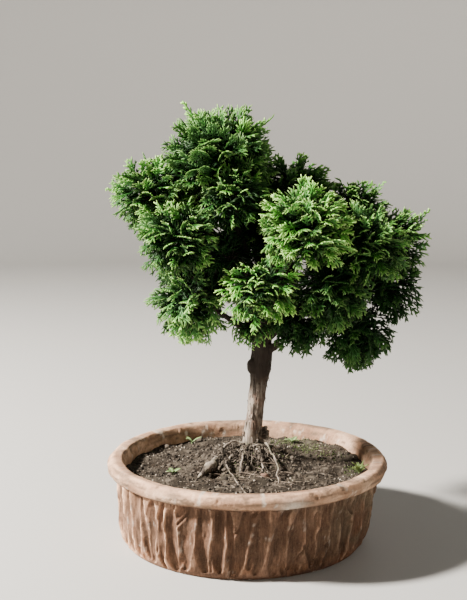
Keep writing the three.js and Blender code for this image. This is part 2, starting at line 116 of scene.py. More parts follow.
# Lumps on the trunk, as middles and half sizes: its knob and three that make the burl.
LUMPS = [
    ((3.5, 4, 121), (4.5, 4, 6)), ((8.5, 12, 70.5), (5.6, 5.4, 5.0)), ((13.2, 10.5, 68.8), (2.7, 3.2, 2.2)),
    ((12.2, 11, 74.6), (2.4, 2.8, 1.6)),
]
ROOTS = [
    ([(1, 9, 62), (-10, 8, 65.5), (-19, -3, 61), (-26, -16, 54.5), (-34, -28, 49.6)],
     [2.6, 1.5, 1.8, 3.3, 1.5]),
    ([(8, 10, 66), (14, 6, 64.5), (18, -8, 59), (20, -24, 53.5), (20.5, -40, 48)], [2.4, 1.7, 1.5, 1.5, 1.1]),
    ([(6, 8, 60), (8, -4, 60.5), (10.5, -16, 55), (11, -30, 46)], [2.2, 1.6, 1.4, 1.2]),
    ([(-6, 4, 60), (-15, -12, 57), (-9, -36, 52.6), (0, -62, 49.4)], [1.8, 1.3, 1.1, 0.9]),
    ([(0, 6, 60), (-2, -6, 60), (-4, -20, 54), (-5, -32, 46)], [2, 1.5, 1.3, 1.1]),
    ([(6, 12, 62), (18, 22, 58), (30, 26, 49)], [2.6, 2, 1.4]),
    ([(-2, 12, 62), (-12, 24, 58), (-22, 36, 48)], [2.6, 2, 1.4]),
]

# Each clump of the crown: its middle, its reach, how much it hangs, how bright it is painted, as young growth
# and painted light where the clump stands in the light (1 and over where most of it is young), and the ends
# of its single shoots.
CLUMPS = {
    "dome": ((-19.5, 0, 262.5), 37.5, 0, 0.38, [(-43, -4, 306.5), (19, 14, 296)]),
    "dome_front": ((-9, -27, 237), 25.5, 0.1, 0.5, []),
    "dome_back": ((-12, 44, 246), 34, 0, 0.45, []),
    "left": ((-64, -3, 241), 29.5, 0.1, 0.92, [(-98, -4, 247)]),
    "left_middle": ((-45, -30, 212), 28.5, 0.2, 0.72, []),
    "left_inner": ((-46, 6, 197), 24, 0.3, 0.25, []),
    "left_low": ((-39, -10, 167), 28, 0.6, 1.0, [(-64, -4, 160)]),
    "left_back": ((-56, 42, 225), 32, 0.1, 0.4, []),
    "left_back_low": ((-34, 46, 184), 32, 0.5, 0.3, []),
    "front_right": ((37, -46, 219), 33, 0, 1.45, []),
    "front_low": ((8, -44, 181), 25.5, 0.25, 1.5, []),
    "front_far": ((76, -30, 207), 29, 0.1, 0.4, []),
    "top_back": ((31, 24, 240), 30.5, 0, 0.3, []),
    "right_top": ((71, 10, 228), 26, 0, 0.45, [(95, 6, 252)]),
    "right": ((97, 2, 207), 28, 0.1, 0.45, [(126, -4, 231)]),
    "right_low": ((96, 4, 177), 27, 0.35, 0.1, []),
    "right_inner": ((54, -28, 180), 28, 0.5, 0.35, []),
    "right_hanging": ((76, 2, 147), 28, 0.9, 0.1, []),
    "centre_hanging": ((35, -12, 156), 24, 0.9, 0.2, []),
    "trunk_hanging": ((2, -16, 155), 17, 1, 1.1, []),
    "back": ((8, 62, 217), 34, 0.1, 0.5, []),
    "back_low": ((12, 58, 176), 33, 0.6, 0.3, []),
    "right_back": ((62, 48, 211), 32, 0.1, 0.4, []),
    "right_back_low": ((62, 46, 170), 31, 0.6, 0.25, []),
    "middle": ((-12, -10, 199), 24, 0.2, 0.05, []),
    "right_middle": ((62, 2, 196), 27, 0.3, 0.1, []),
}
CROWN_MIDDLE = np.array([10.0, 8.0, 200.0])

# Name: place, leaves, length, width, rise. For the grass: place, blades, length, width.
SEEDLINGS = {
    "seedling_left": ((-52, -13), 4, 6, 3.4, 0.5),
    "seedling_back": ((-43, 66), 3, 6.5, 3.2, 0.7),
    "seedling_right": ((34, 50), 4, 7, 3.8, 0.5),
}
GRASS = ((78, -12), 9, 13, 1.3)

# ---- Numbers ----


def share(number):
    """The same share from 0 to 1 for the same number, every time."""
    wave = sin(number * 12.9898 + 78.233) * 43758.5453
    return wave - floor(wave)


def rising(value, low, high):
    """A soft step from 0 at low to 1 at high."""
    part = np.clip((value - low) / (high - low), 0, 1)
    return part * part * (3 - 2 * part)


def falling(value, low, high):
    """A soft step from 1 at low to 0 at high."""
    return 1 - rising(value, low, high)


def bell(distance, spread):
    return np.exp(-(distance * distance) / (2 * spread * spread))


def unit(vector):
    return vector / max(norm(vector), 1e-9)


def table(*columns):
    """Arrays and numbers side by side, with a row for each item."""
    return np.stack(np.broadcast_arrays(*columns), 1)


def lattice(cells, seed):
    """A repeatable value from 0 to 1 for each whole-number cell."""
    mixed = cells[..., 0] * 374761393 + cells[..., 1] * 668265263 + cells[..., 2] * 1274126177
    mixed = mixed + (seed + 1) * 974711
    mixed = (mixed ^ (mixed >> 13)) * 1274126177
    return ((mixed ^ (mixed >> 16)) & 0xFFFF) / 65535.0


def noise_at(points, size, seed=0, octaves=3):
    """Smooth noise from -1 to 1 at each point, with features of a size, or a size for each axis."""
    total = np.zeros(len(points))
    for octave in range(octaves):
        scaled = points / np.asarray(size, float) * 2**octave
        base = np.floor(scaled).astype(np.int64)
        part = scaled - base
        part = part * part * (3 - 2 * part)
        value = np.zeros(len(points))
        for corner in range(8):
            bits = np.array([corner & 1, corner >> 1 & 1, corner >> 2 & 1])
            value += np.prod(np.where(bits, part, 1 - part), axis=1) * lattice(base + bits, seed + octave)
        total += 0.5**octave * (2 * value - 1)
    return total / (2 - 2 * 0.5**octaves)


def blots(points, size, seed, octaves, gain, offset):
    """Noise as patches, from 0 between them to 1 inside them."""
    return np.clip(noise_at(points, size, seed, octaves) * gain + offset, 0, 1)


# ---- Meshes ----


def smooth(mesh):
    mesh.polygons.foreach_set("use_smooth", np.full(len(mesh.polygons), True))


def mesh_object(name, points, faces, tones=None):
    """A mesh from points in millimetres and faces with four corners each."""
    mesh = bpy.data.meshes.new(name)
    faces = np.asarray(faces, np.int32)
    mesh.vertices.add(len(points))
    mesh.vertices.foreach_set("co", (points * MM).astype(np.float32).ravel())
    mesh.loops.add(faces.size)
    mesh.loops.foreach_set("vertex_index", faces.ravel())
    mesh.polygons.add(len(faces))
    mesh.polygons.foreach_set("loop_start", np.arange(0, faces.size, 4, dtype=np.int32))
    mesh.update(calc_edges=True)
    mesh.validate()
    smooth(mesh)
    if tones is not None:
        paint(mesh, tones)
    thing = bpy.data.objects.new(name, mesh)
    bpy.context.scene.collection.objects.link(thing)
    return thing


def paint(mesh, tones, name="tone"):
    """Keeps up to four shares for each point, which the materials read as a colour of that name."""
    full = np.ones((len(mesh.vertices), 4), np.float32)
    full[:, : tones.shape[1]] = tones
    layer = mesh.color_attributes.new(name, "FLOAT_COLOR", "POINT")
    layer.data.foreach_set("color", full.ravel())


def vectors_of(items, key):
    flat = np.zeros(len(items) * 3, np.float32)
    items.foreach_get(key, flat)
    return flat.reshape(-1, 3).astype(float)


def points_of(thing):
    return vectors_of(thing.data.vertices, "co") / MM


def move_to(thing, points):
    thing.data.vertices.foreach_set("co", (points * MM).astype(np.float32).ravel())
    thing.data.update()


def apply_modifiers(thing):
    """Turns the object's modifiers into its mesh."""
    bpy.context.view_layer.update()
    graph = bpy.context.evaluated_depsgraph_get()
    made = bpy.data.meshes.new_from_object(thing.evaluated_get(graph))
    thing.modifiers.clear()
    thing.data = made
    smooth(made)


def ring_faces(rings, sides):
    """The faces between rings of points that follow each other."""
    low = np.arange(rings - 1)[:, None] * sides
    ring = np.arange(sides)
    following = (ring + 1) % sides
    high = low + sides
    return np.stack([low + ring, low + following, high + following, high + ring], 2).reshape(-1, 4)


def closed_faces(rings, sides):
    """The same with both ends closed, by the two middle points that come after the rings."""
    middle = rings * sides
    last = middle - sides
    pairs = np.arange(0, sides, 2)
    following = (pairs + 2) % sides
    start = table(middle, following, pairs + 1, pairs)
    end = table(middle + 1, last + pairs, last + pairs + 1, last + following)
    return np.concatenate([ring_faces(rings, sides), start, end])


def bar_faces(rings, grown=False):
    """The faces of a four-sided bar, which is open at its start where it has grown from another."""
    last = 4 * (rings - 1)
    ends = [[3, 2, 1, 0], [last, last + 1, last + 2, last + 3]]
    return np.concatenate([ring_faces(rings, 4), ends[1:] if grown else ends])


def lathe(name, rows, columns, place):
    """A closed turned body: rows run from the axis to the axis, and place gives the points of one row."""
    ends = [np.array([[lean_at(z), 0.0, z]]) for _, z in (rows[0], rows[-1])]
    rings = [place(row) for row in rows[1:-1]]
    return mesh_object(name, np.concatenate(rings + ends), closed_faces(len(rings), columns))


class Curve:
    """A smooth route through points, with the radius at each of them."""

    def __init__(self, route, radii):
        self.route = np.array(route, float)
        self.radii = np.array(radii, float)

    def at(self, along):
        """The point at a share of the way, point by point."""
        route = self.route
        span = along * (len(route) - 1)
        k = min(int(span), len(route) - 2)
        part = span - k
        a, b = route[k], route[k + 1]
        before = route[k - 1] if k > 0 else 2 * route[0] - route[1]
        after = route[k + 2] if k + 2 < len(route) else 2 * route[-1] - route[-2]
        d0, d1, d2 = [max(norm(q - p) ** 0.5, 1e-4) for p, q in ((before, a), (a, b), (b, after))]
        t1 = ((a - before) / d0 - (b - before) / (d0 + d1) + (b - a) / d1) * d1
        t2 = ((b - a) / d1 - (after - a) / (d1 + d2) + (after - b) / d2) * d1
        return a + t1 * part + (3 * (b - a) - 2 * t1 - t2) * part**2 + (2 * (a - b) + t1 + t2) * part**3

    def radius(self, along):
        return np.interp(along * (len(self.radii) - 1), np.arange(len(self.radii)), self.radii)


def winding(curve, amount, seed):
    """The same curve with its middle bent this way and that."""
    shares = np.linspace(0, 1, 22)
    route = np.array([curve.at(part) for part in shares])
    bends = table(*[noise_at(route, 7.0, seed + 5 * k, 2) for k in range(3)])
    route += amount * bends * (np.sin(pi * shares) ** 0.5)[:, None]
    return Curve(route, [curve.radius(part) for part in shares])


def tube(curve, sides, steps, wobble=0.0, seed=0):
    """Points and faces of a closed tube along a curve, a bit uneven all round."""
    shares = np.linspace(0, 1, steps + 1)
    middles = np.array([curve.at(along) for along in shares])
    tangents = np.gradient(middles, axis=0)
    side = unit(np.cross(tangents[0], [0.3, 1.0, 0.2]))
    rings = []
    angles = np.arange(sides) * 2 * pi / sides
    for k, along in enumerate(shares):
        tangent = unit(tangents[k])
        side = unit(side - tangent * np.dot(side, tangent))
        ring = np.cos(angles)[:, None] * side + np.sin(angles)[:, None] * np.cross(tangent, side)
        radius = curve.radius(along) * (0.6 if k in (0, steps) else 1)
        uneven = 1 + wobble * noise_at(middles[k] + ring * radius, 7.0, seed, 2)
        rings.append(middles[k] + ring * (radius * uneven)[:, None])
    return np.concatenate(rings + [middles[:1], middles[-1:]]), closed_faces(steps + 1, sides)


def ball(rows=10, columns=14):
    """Points and faces of a unit ball."""
    points = []
    for row in range(rows + 1):
        level = pi * (row + 0.02) / (rows + 0.04)
        for column in range(columns):
            turn = 2 * pi * column / columns
            points.append((sin(level) * cos(turn), sin(level) * sin(turn), cos(level)))
    return np.array(points), ring_faces(rows + 1, columns)[:, [0, 3, 2, 1]]


def toned(part, *tone):
    """Points and faces, with the same tones all over."""
    return *part, np.tile(tone, (len(part[0]), 1))


def merged(parts):
    """Several parts as one: points, faces and, where they have them, tones."""
    points, faces, *tones = zip(*parts)
    starts = np.cumsum([0, *[len(one) for one in points[:-1]]])
    faces = [one + start for one, start in zip(faces, starts)]
    return [np.concatenate(several) for several in (points, faces, *tones)]


# ---- Materials ----


class Look:
    """A material in the making: its nodes, and its colour so far."""

    def __init__(self, name, roughness, specular):
        self.material = bpy.data.materials.new(name)
        self.material.use_nodes = True
        self.tree = self.material.node_tree
        self.shader = self.tree.nodes["Principled BSDF"]
        self.shader.inputs["Roughness"].default_value = roughness
        self.shader.inputs["Specular IOR Level"].default_value = specular
        self.colour = None

    def node(self, kind, inputs=(), **settings):
        """A node with its settings, and its inputs either set or linked."""
        node = self.tree.nodes.new(kind)
        for key, value in settings.items():
            setattr(node, key, value)
        for key, value in dict(inputs).items():
            socket = node.inputs[key]
            if isinstance(value, bpy.types.NodeSocket):
                self.tree.links.new(value, socket)
            elif socket.type == "RGBA":
                socket.default_value = (*value, 1.0)
            else:
                socket.default_value = value
        return node

    def maths(self, operation, first, second):
        inputs = {0: first, 1: second}
        return self.node("ShaderNodeMath", inputs, operation=operation, use_clamp=True).outputs[0]

    def mix(self, amount, first, second, mode="MIX"):
        inputs = {0: amount, 6: first, 7: second}
        return self.node("ShaderNodeMix", inputs, data_type="RGBA", blend_type=mode).outputs[2]

    def lay(self, amount, colour, share_of_it=None, mode="MIX"):
        """Lays a colour over the one so far, by an amount or by a share of it."""
        if share_of_it is not None:
            amount = self.maths("MULTIPLY", amount, share_of_it)
        self.colour = self.mix(amount, self.colour, colour, mode)

    def grain(self, amount, value, low, high, dark, pale):
        """Darkens the colour so far where a value is low and lightens it where it is high."""
        greys = self.ramp(value, (low, dark, dark, dark), (high, pale, pale, pale))
        self.lay(amount, greys, mode="OVERLAY")

    def ramp(self, value, *stops):
        """A colour ramp over stops, each a place and a colour."""
        node = self.node("ShaderNodeValToRGB", {0: value})
        elements = node.color_ramp.elements
        while len(elements) < len(stops):
            elements.new(0.5)
        for element, (place, *colour) in zip(elements, stops):
            element.position = place
            element.color = (*colour, 1.0)
        return node.outputs[0]

    def noise(self, size, detail=4.0, roughness=0.55, stretch=None):
        """A noise with features of a size in millimetres, drawn out by shares along X, Y and Z."""
        place = self.node("ShaderNodeTexCoord").outputs["Object"]
        if stretch:
            place = self.node("ShaderNodeMapping", {"Vector": place, "Scale": stretch}).outputs[0]
        inputs = {"Vector": place, "Scale": 1 / (size * MM), "Detail": detail, "Roughness": roughness}
        return self.node("ShaderNodeTexNoise", inputs).outputs[0]

    def contrast(self, value, low, high):
        """The value spread so that low becomes 0 and high becomes 1."""
        inputs = {"Value": value, "From Min": low, "From Max": high}
        return self.node("ShaderNodeMapRange", inputs, interpolation_type="SMOOTHSTEP").outputs[0]

    def tones(self, name="tone"):
        """The four shares painted on the mesh."""
        tone = self.node("ShaderNodeVertexColor", layer_name=name)
        split = self.node("ShaderNodeSeparateColor", {"Color": tone.outputs[0]})
        return *split.outputs[:3], tone.outputs["Alpha"]

    def done(self, height=None, strength=0.0, distance=0.0):
        """The material, with its colour and the relief of a height."""
        self.tree.links.new(self.colour, self.shader.inputs["Base Color"])
        if height is not None:
            inputs = {"Height": height, "Strength": strength, "Distance": distance * MM}
            self.tree.links.new(self.node("ShaderNodeBump", inputs).outputs[0], self.shader.inputs["Normal"])
        return self.material


def terracotta():
    """Fired clay: brown where it was scooped, pale and worn on the crests, with dirt, lime and stains;
    painted shade in the grooves, under the lip and over the front and right, and a painted highlight on the
    crests to the left.
    """
    look = Look("terracotta", 0.9, 0.22)
    groove_shade_and_dirt, lip, stain, orange = look.tones()
    crest, streak, lime, damp_and_painted_shade = look.tones("wear_and_painted_light")
    cloud = look.noise(22, 5)
    grain = look.noise(1.5, 5, 0.7)
    fibres = look.noise(1.3, 5, 0.7, (1, 1, 0.16))
    dirt = look.contrast(look.noise(4.5, 6, 0.7), 0.46, 0.72)
    speck = look.contrast(look.noise(0.9, 2, 0.5), 0.64, 0.74)
    on_wall = look.maths("SUBTRACT", 0.55, lip)
    brow = look.ramp(cloud, (0.3, 0.25, 0.135, 0.082), (0.5, 0.4, 0.238, 0.148), (0.7, 0.66, 0.44, 0.295))
    look.colour = look.ramp(cloud, (0.3, 0.125, 0.06, 0.034), (0.5, 0.185, 0.096, 0.058),
                            (0.7, 0.26, 0.148, 0.096))
    look.lay(lip, brow)
    look.lay(orange, (0.27, 0.105, 0.042))
    look.lay(stain, (0.125, 0.112, 0.075))
    # Pale worn crests, with a painted highlight on the left-facing flanks and on the left of the bowl.
    look.lay(crest, look.mix(stain, (0.76, 0.455, 0.285), (0.27, 0.225, 0.155)))
    # Painted shade with dirt in the grooves and in a band under the lip.
    look.lay(groove_shade_and_dirt, (0.05, 0.026, 0.014))
    # Painted shade on the front and right of the wall.
    look.lay(damp_and_painted_shade, (0.06, 0.031, 0.018), 0.68)
    look.lay(streak, (0.155, 0.105, 0.07))
    look.lay(lime, (0.72, 0.64, 0.54))
    look.lay(dirt, (0.135, 0.078, 0.047), 0.42)
    look.lay(speck, (0.6, 0.48, 0.37), 0.1)
    look.grain(0.5, grain, 0.25, 0.75, 0.28, 0.76)
    look.grain(on_wall, fibres, 0.34, 0.66, 0.16, 0.84)
    return look.done(look.mix(on_wall, grain, fibres), 0.7, 0.7)


def earth():
    """Dark crumbly soil with paler dry grains, a green film where it stays damp, and painted shade in the
    hollow under the root mound.
    """
    look = Look("earth", 0.96, 0.15)
    pale, green, dark, _ = look.tones()
    fine = look.noise(1.3, 6, 0.75)
    look.colour = look.ramp(fine, (0.32, 0.012, 0.01, 0.007), (0.52, 0.045, 0.036, 0.027),
                            (0.7, 0.115, 0.093, 0.072))
    look.lay(look.contrast(look.noise(16, 4), 0.4, 0.7), (0.16, 0.125, 0.095), mode="SOFT_LIGHT")
    look.lay(pale, (0.2, 0.16, 0.12), 0.42)
    # Painted shade in the hollow under the root mound.
    look.lay(dark, (0.012, 0.01, 0.007), 0.85)
    look.lay(green, (0.1, 0.11, 0.05), 0.45)
    return look.done(fine, 0.8, 0.8)


def bark():
    """Grey-brown flaky bark, pale where it is worn and dark in its cracks, with a painted highlight on the
    lower trunk and the tops of the roots and a painted shadow of the crown on the upper trunk.
    """
    look = Look("bark", 0.88, 0.25)
    crack, worn_and_painted_highlight, moss, _ = look.tones()
    streak = look.noise(1.5, 6, 0.7, (1, 1, 0.13))
    look.colour = look.ramp(streak, (0.3, 0.055, 0.04, 0.031), (0.5, 0.175, 0.138, 0.108),
                            (0.72, 0.4, 0.34, 0.28))
    look.lay(look.contrast(look.noise(9, 4, 0.6), 0.48, 0.66), (0.17, 0.095, 0.065), 0.6)
    look.lay(worn_and_painted_highlight, (0.52, 0.44, 0.36), 0.5)
    look.lay(moss, (0.12, 0.13, 0.055), 0.6)
    # crack also carries the painted shadow of the crown on the upper trunk.
    look.lay(crack, (0.026, 0.019, 0.015))
    return look.done(streak, 0.9, 0.9)


def leaf_scales():
    """Blunt scale leaves with a waxy gloss: yellow-green at the growing tips and paler below, with painted
    shade deep in the crown and brighter clumps painted with more light.
    """
    look = Look("leaf_scales", 0.5, 0.2)
    tip, light, depth, upper = look.tones()
    aged = look.ramp(tip, (0.0, 0.004, 0.03, 0.002), (0.5, 0.012, 0.074, 0.006), (0.85, 0.036, 0.155, 0.018),
                     (1.0, 0.13, 0.34, 0.06))
    young = look.ramp(tip, (0.0, 0.01, 0.06, 0.005), (0.45, 0.06, 0.265, 0.018), (0.75, 0.36, 0.75, 0.13),
                      (1.0, 0.72, 0.97, 0.32))
    look.colour = look.mix(light, aged, young)
    look.lay(look.contrast(look.noise(22, 3), 0.45, 0.7), (0.026, 0.105, 0.042), 0.35)
    below = look.mix(0.4, look.colour, (0.14, 0.25, 0.13))
    # depth: painted shade, near-black deep in the crown.
    look.colour = look.mix(depth, (0.002, 0.021, 0.001), look.mix(upper, below, look.colour))
    return look.done(look.noise(0.9, 2, 0.5), 0.4, 0.25)


def tender(name, dark, bright):
    """A soft young leaf, paler at its tip and along its middle."""
    look = Look(name, 0.55, 0.35)
    along, middle, _, _ = look.tones()
    look.colour = look.mix(along, dark, bright)
    look.lay(middle, (0.52, 0.62, 0.3), 0.5)
    look.grain(0.3, look.noise(1.8, 3), 0.3, 0.7, 0.3, 0.7)
    return look.done()


def speckled(name, dark, bright, roughness=0.9):
    """A dry bit of stone, straw or moss that varies from piece to piece."""
    look = Look(name, roughness, 0.25)
    look.colour = look.mix(look.tones()[0], dark, bright)
    patch = look.noise(1.2, 4, 0.7)
    look.grain(0.5, patch, 0.3, 0.7, 0.25, 0.75)
    return look.done(patch, 0.5, 0.4)


def dress(thing, material, slot, *nodes):
    """Gives a piece its material and its body, and hides what it stands for. The slot is not used."""
    thing.data.materials.append(material)
    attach(thing, "root")
    if nodes:
        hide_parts(*nodes)


# ---- Terracotta bowl ----

POT_COLUMNS = 840
WALL_STEPS = 62
LIP_STEPS = 34
INSIDE_STEPS = 14
CUT_DEPTH = 1.6 * GROOVE_DEPTH
# The heights between which the wall passes into the lip.
WALL_END = 49.5
LIP_START = 51.5
# The lip's outline with its worn edges, inside the solid's own rows.
LIP_EDGES = [
    (92.6, 48.6), (93.4, 49.6), (96.9, 50.1), (98.3, 51.2), (99.6, 54.3), (99.4, 55.8), (97.6, 58.4),
    (96.0, 59.5), (91.0, 59.3), (89.4, 58.6), (87.6, 55.0), (86.4, 50.0),
]
# Broken bits low on the lip: angle, height, half widths along both, and depth.
BREAK_ANGLE = 74
BROKEN_BITS = [(BREAK_ANGLE, 50.8, 2.6, 1.8, 1.8), (-21, 51.5, 1.6, 1.5, 0.9)]

crests = list(FRONT_RIDGES)
crests += [79 + i * 200 / BACK_RIDGES + 3 * (share(i + 40) - 0.5) for i in range(BACK_RIDGES)]


def all_gouges():
    """The cuts in the wall: middle angle and height, half width, half length, lean and depth of each."""
    gouges = []
    for i, (crest, following) in enumerate(zip(crests, [*crests[1:], crests[0] + 360])):
        wide = following - crest
        middle = (crest + following) / 2
        foot = -1 + 6 * share(i + 1.1)
        head = 45 + 9 * share(i + 2.2)
        lean = 5 * (share(i + 7) - 0.5)
        half = wide * (0.42 + 0.2 * share(i + 17))
        gouges.append((middle, (foot + head) / 2, half, (head - foot) / 2, lean, 0.75 + 0.35 * share(i + 31)))
        for k in range(3 if wide > 6 else 2):
            seed = 10 * i + k
            half = wide * (0.16 + 0.2 * share(seed + 3.3))
            long = 7 + 12 * share(seed + 4.4)
            aside = (share(seed + 5.5) - 0.5) * wide
            height = 8 + 36 * share(seed + 6.6)
            own_lean = lean + 7 * (share(seed + 7.7) - 0.5)
            gouges.append((middle + aside, height, half, long, own_lean, 0.4 + 0.6 * share(seed + 8.8)))
    return gouges


GOUGES = all_gouges()


def groove_at(angle, z):
    """How deep a place on the wall is cut, from 0 on a crest to 1: lens-shaped scoops that meet in sharp
    edges, bent by noise as hand-cut clay is."""
    flat = table(angle * 1.6, z, 0)
    bent = angle + 1.3 * noise_at(flat, (11, 17, 1), 5, 2)
    level = z + 2.0 * noise_at(flat, (9, 14, 1), 6, 2)
    depth = np.zeros_like(bent)
    for middle, height, half, long, lean, deep in GOUGES:
        along = (level - height) / long
        aside = (bent - middle - lean * along + 180) % 360 - 180
        lens = np.sqrt(np.clip(1 - along**2, 0, 1)) ** 0.8
        across = aside / np.maximum(half * lens, 0.05)
        scoop = np.clip(1 - across**2, 0, 1) ** 0.85
        depth = np.maximum(depth, (np.abs(along) < 1) * scoop * deep * (0.35 + 0.65 * lens))
    depth += 0.15 * noise_at(flat, (2.4, 13, 1), 11, 3) + 0.09 * noise_at(flat, (1.6, 5, 1), 23, 2)
    depth += 0.12 * noise_at(flat, (4, 5, 1), 29, 3)
    return np.clip(depth, -0.1, 1.15)


def groove_fade(z):
    """How much of the cuts' depth is left at a height."""
    return rising(z, 0.2, 3.5) * falling(z, 47.5, 50)


def lean_at(z):
    return POT_LEAN * (1 - z / POT_HEIGHT)


def lip_wave(angle):
    return 0.7 * np.sin(np.radians(2 * angle + 46)) + 0.3 * np.sin(np.radians(5 * angle + 120))


def smooth_rows(rows, steps):
    """A profile's (radius, height) rows drawn as a smooth curve."""
    curve = Curve([(radius, 0, z) for radius, z in rows], [1] * len(rows))
    return [(point[0], point[2]) for point in (curve.at(k / steps) for k in range(steps + 1))]


def pot_row(row):
    """One ring of the bowl: a hand-made wall with grooves, an uneven lip, and a smoother inside."""
    radius, z, kind = row
    angle = crests[0] + np.arange(POT_COLUMNS) * 360 / POT_COLUMNS
    turn = np.radians(angle)
    around = table(radius * np.sin(turn), radius * np.cos(turn), z)
    height, across = z, np.full(POT_COLUMNS, float(radius))
    if kind == "wall":
        across -= CUT_DEPTH * groove_at(angle, z) * groove_fade(z)
        across += 0.3 * noise_at(around, 11, 3, 3) * rising(z, 0, 4) - 0.15
    if kind == "lip":
        flat = table(angle * 1.7, z, 0)
        across += 0.5 * lip_wave(angle) - 0.9 + 0.75 * noise_at(around, (13, 13, 4), 7, 3)
        across += 0.35 * noise_at(flat, (14, 1.7, 1), 17, 3)
        across -= 0.7 * blots(flat, (2.6, 1.6, 1), 15, 2, 3, -1.5)
        for middle, level, wide, tall, depth in BROKEN_BITS:
            across -= depth * bell(angle - middle, wide) * bell(z - level, tall)
        across -= 1.1 * blots(flat, (4.5, 4, 1), 19, 2, 2.6, -1.2) * bell(z - 57, 2.4)
        height = z + 0.25 * lip_wave(angle) - 0.45 + 0.3 * noise_at(around, 12, 9, 3)
    if kind == "inside":
        across += 0.5 * noise_at(around, (16, 16, 5), 13, 3) * rising(50 - z, 0, 3)
        across += (0.5 * lip_wave(angle) - 0.5) * rising(z, 44, 50)
    return table(across * np.sin(turn) + lean_at(height), -across * np.cos(turn), height)


def drill_drains(bowl):
    """Cuts the two drain holes through the floor."""
    drill = bpy.data.collections.new("drill")
    for side in (-1, 1):
        route = [(side * DRAIN_OFFSET, 0, -6), (side * DRAIN_OFFSET, 0, 20)]
        hole = mesh_object("drain_cutter", *tube(Curve(route, [DRAIN_RADIUS] * 2), 40, 3))
        bpy.context.scene.collection.objects.unlink(hole)
        drill.objects.link(hole)
    cut = bowl.modifiers.new("drains", "BOOLEAN")
    cut.operand_type = "COLLECTION"
    cut.collection = drill
    apply_modifiers(bowl)
    for hole in list(drill.objects):
        bpy.data.objects.remove(hole)
    bpy.data.collections.remove(drill)


def paint_bowl(bowl):
    """Paints where the bowl is cut, worn, stained and limy, with painted shade in its grooves, under the lip
    and over the front and right of the wall, and a painted highlight on its crests towards the left.
    """
    points = points_of(bowl)
    x, y, z = points.T
    x = x - lean_at(z)
    angle = np.degrees(np.arctan2(x, -y))
    radius = np.hypot(x, y)
    flat = table(angle * 1.7, z, 0)
    is_wall = (radius > 84) & (z < WALL_END) & (z > 1)
    is_lip = rising(z, WALL_END, LIP_START) * (radius > 86)
    depth = groove_at(angle, z) * groove_fade(z)
    around = [groove_at(angle + side, z) * groove_fade(z) for side in (-1.0, -0.5, 0.5, 1.0)]
    raised = np.mean(around, axis=0) - depth
    # Painted highlight: crests are paler on their left-facing flanks and towards the left of the bowl, where
    # the light falls, on top of the worn pale crests.
    flank = rising(around[0] - around[3], -0.25, 0.35)
    lit_side = (0.68 + 0.7 * rising(-angle, 12, 50)) * (0.3 + 0.7 * flank)
    painted_highlight_left = rising(-angle, 40, 68) * rising(angle, -110, -85) * is_wall
    crest = rising(raised, 0.01, 0.2) * (0.3 + 0.7 * falling(depth, 0.2, 0.7)) * is_wall
    crest = np.maximum(crest, 0.4 * falling(depth, 0.0, 0.35) * is_wall * rising(z, 4, 12)) * lit_side
    crest = np.maximum(crest, painted_highlight_left * (0.3 + 0.7 * falling(depth, 0.1, 0.65)))
    patchy = 0.6 + 0.3 * rising(-angle, 5, 35) + 1.5 * noise_at(flat, (5, 6, 1), 43, 3)
    crest *= np.clip(patchy, 0.05, 1)
    crest = np.maximum(crest, bell(z - 58.6, 1.3) * (radius > 94) * blots(flat, (9, 2, 1), 49, 3, 1, 0.7))
    # Painted shade with dirt: the cut grooves are darkened, less on left-facing flanks, at the far left and
    # at the right.
    groove_shade_and_dirt = rising(depth - 0.9 * raised, 0.14, 0.66) * blots(flat, (6, 12, 1), 45, 2, 1, 0.85)
    groove_shade_share = (0.66 + 0.34 * rising(angle, -78, -46)) * (1 - 0.45 * rising(angle, 35, 60))
    groove_shade_and_dirt = np.where(is_wall, 0.94 * groove_shade_and_dirt * groove_shade_share * (1 - 0.45 * flank), 0)
    # Painted shade with dirt: a dark band under the lip.
    groove_shade_and_dirt = np.maximum(groove_shade_and_dirt, 0.9 * bell(z - 49.6, 0.75) * (radius > 91) * blots(flat, 9, 47, 2, 1, 0.7))
    lip = np.maximum(is_lip, (radius <= 88) & (z > 44))
    stain = 0.7 * bell(angle - 56, 24) * rising(z, 2, 18) * is_wall * blots(points, 12, 31, 3, 1.5, 0.7)
    orange = 0.6 * bell(z - 4, 5) * blots(points, (16, 16, 8), 41, 2, 2.6, -0.1) * is_wall
    streak = blots(flat, (16, 1.8, 1), 53, 4, 3.0, -0.1) * is_lip * 0.75
    streak = np.maximum(streak, 0.9 * blots(flat, (6, 3, 1), 55, 4, 3.4, -0.9) * is_lip)
    streak = np.maximum(streak, 0.8 * bell(angle - BREAK_ANGLE, 5) * is_lip * blots(flat, 3, 57, 2, 2, 0.5))
    lime = blots(flat, (5, 6, 1), 59, 4, 4, -1.5) * np.where(is_wall, 0.22 * (raised > 0), 0.6)
    lime = np.maximum(lime, 0.55 * bell(angle - 17, 3.5) * bell(z - 52.5, 2.5))
    # Painted shade over the front and right of the wall, on the side turned from the light.
    damp_and_painted_shade = rising(angle, -48, -6) * falling(angle, 105, 150) * (radius > 84) * (1 - is_lip)
    damp_and_painted_shade *= blots(points, (20, 20, 14), 63, 3, 0.8, 0.85) * (1 - 0.8 * rising(angle, 40, 64))
    paint(bowl.data, table(groove_shade_and_dirt, lip, stain, orange))
    paint(bowl.data, table(np.clip(crest, 0, 1), streak, lime, damp_and_painted_shade), "wear_and_painted_light")


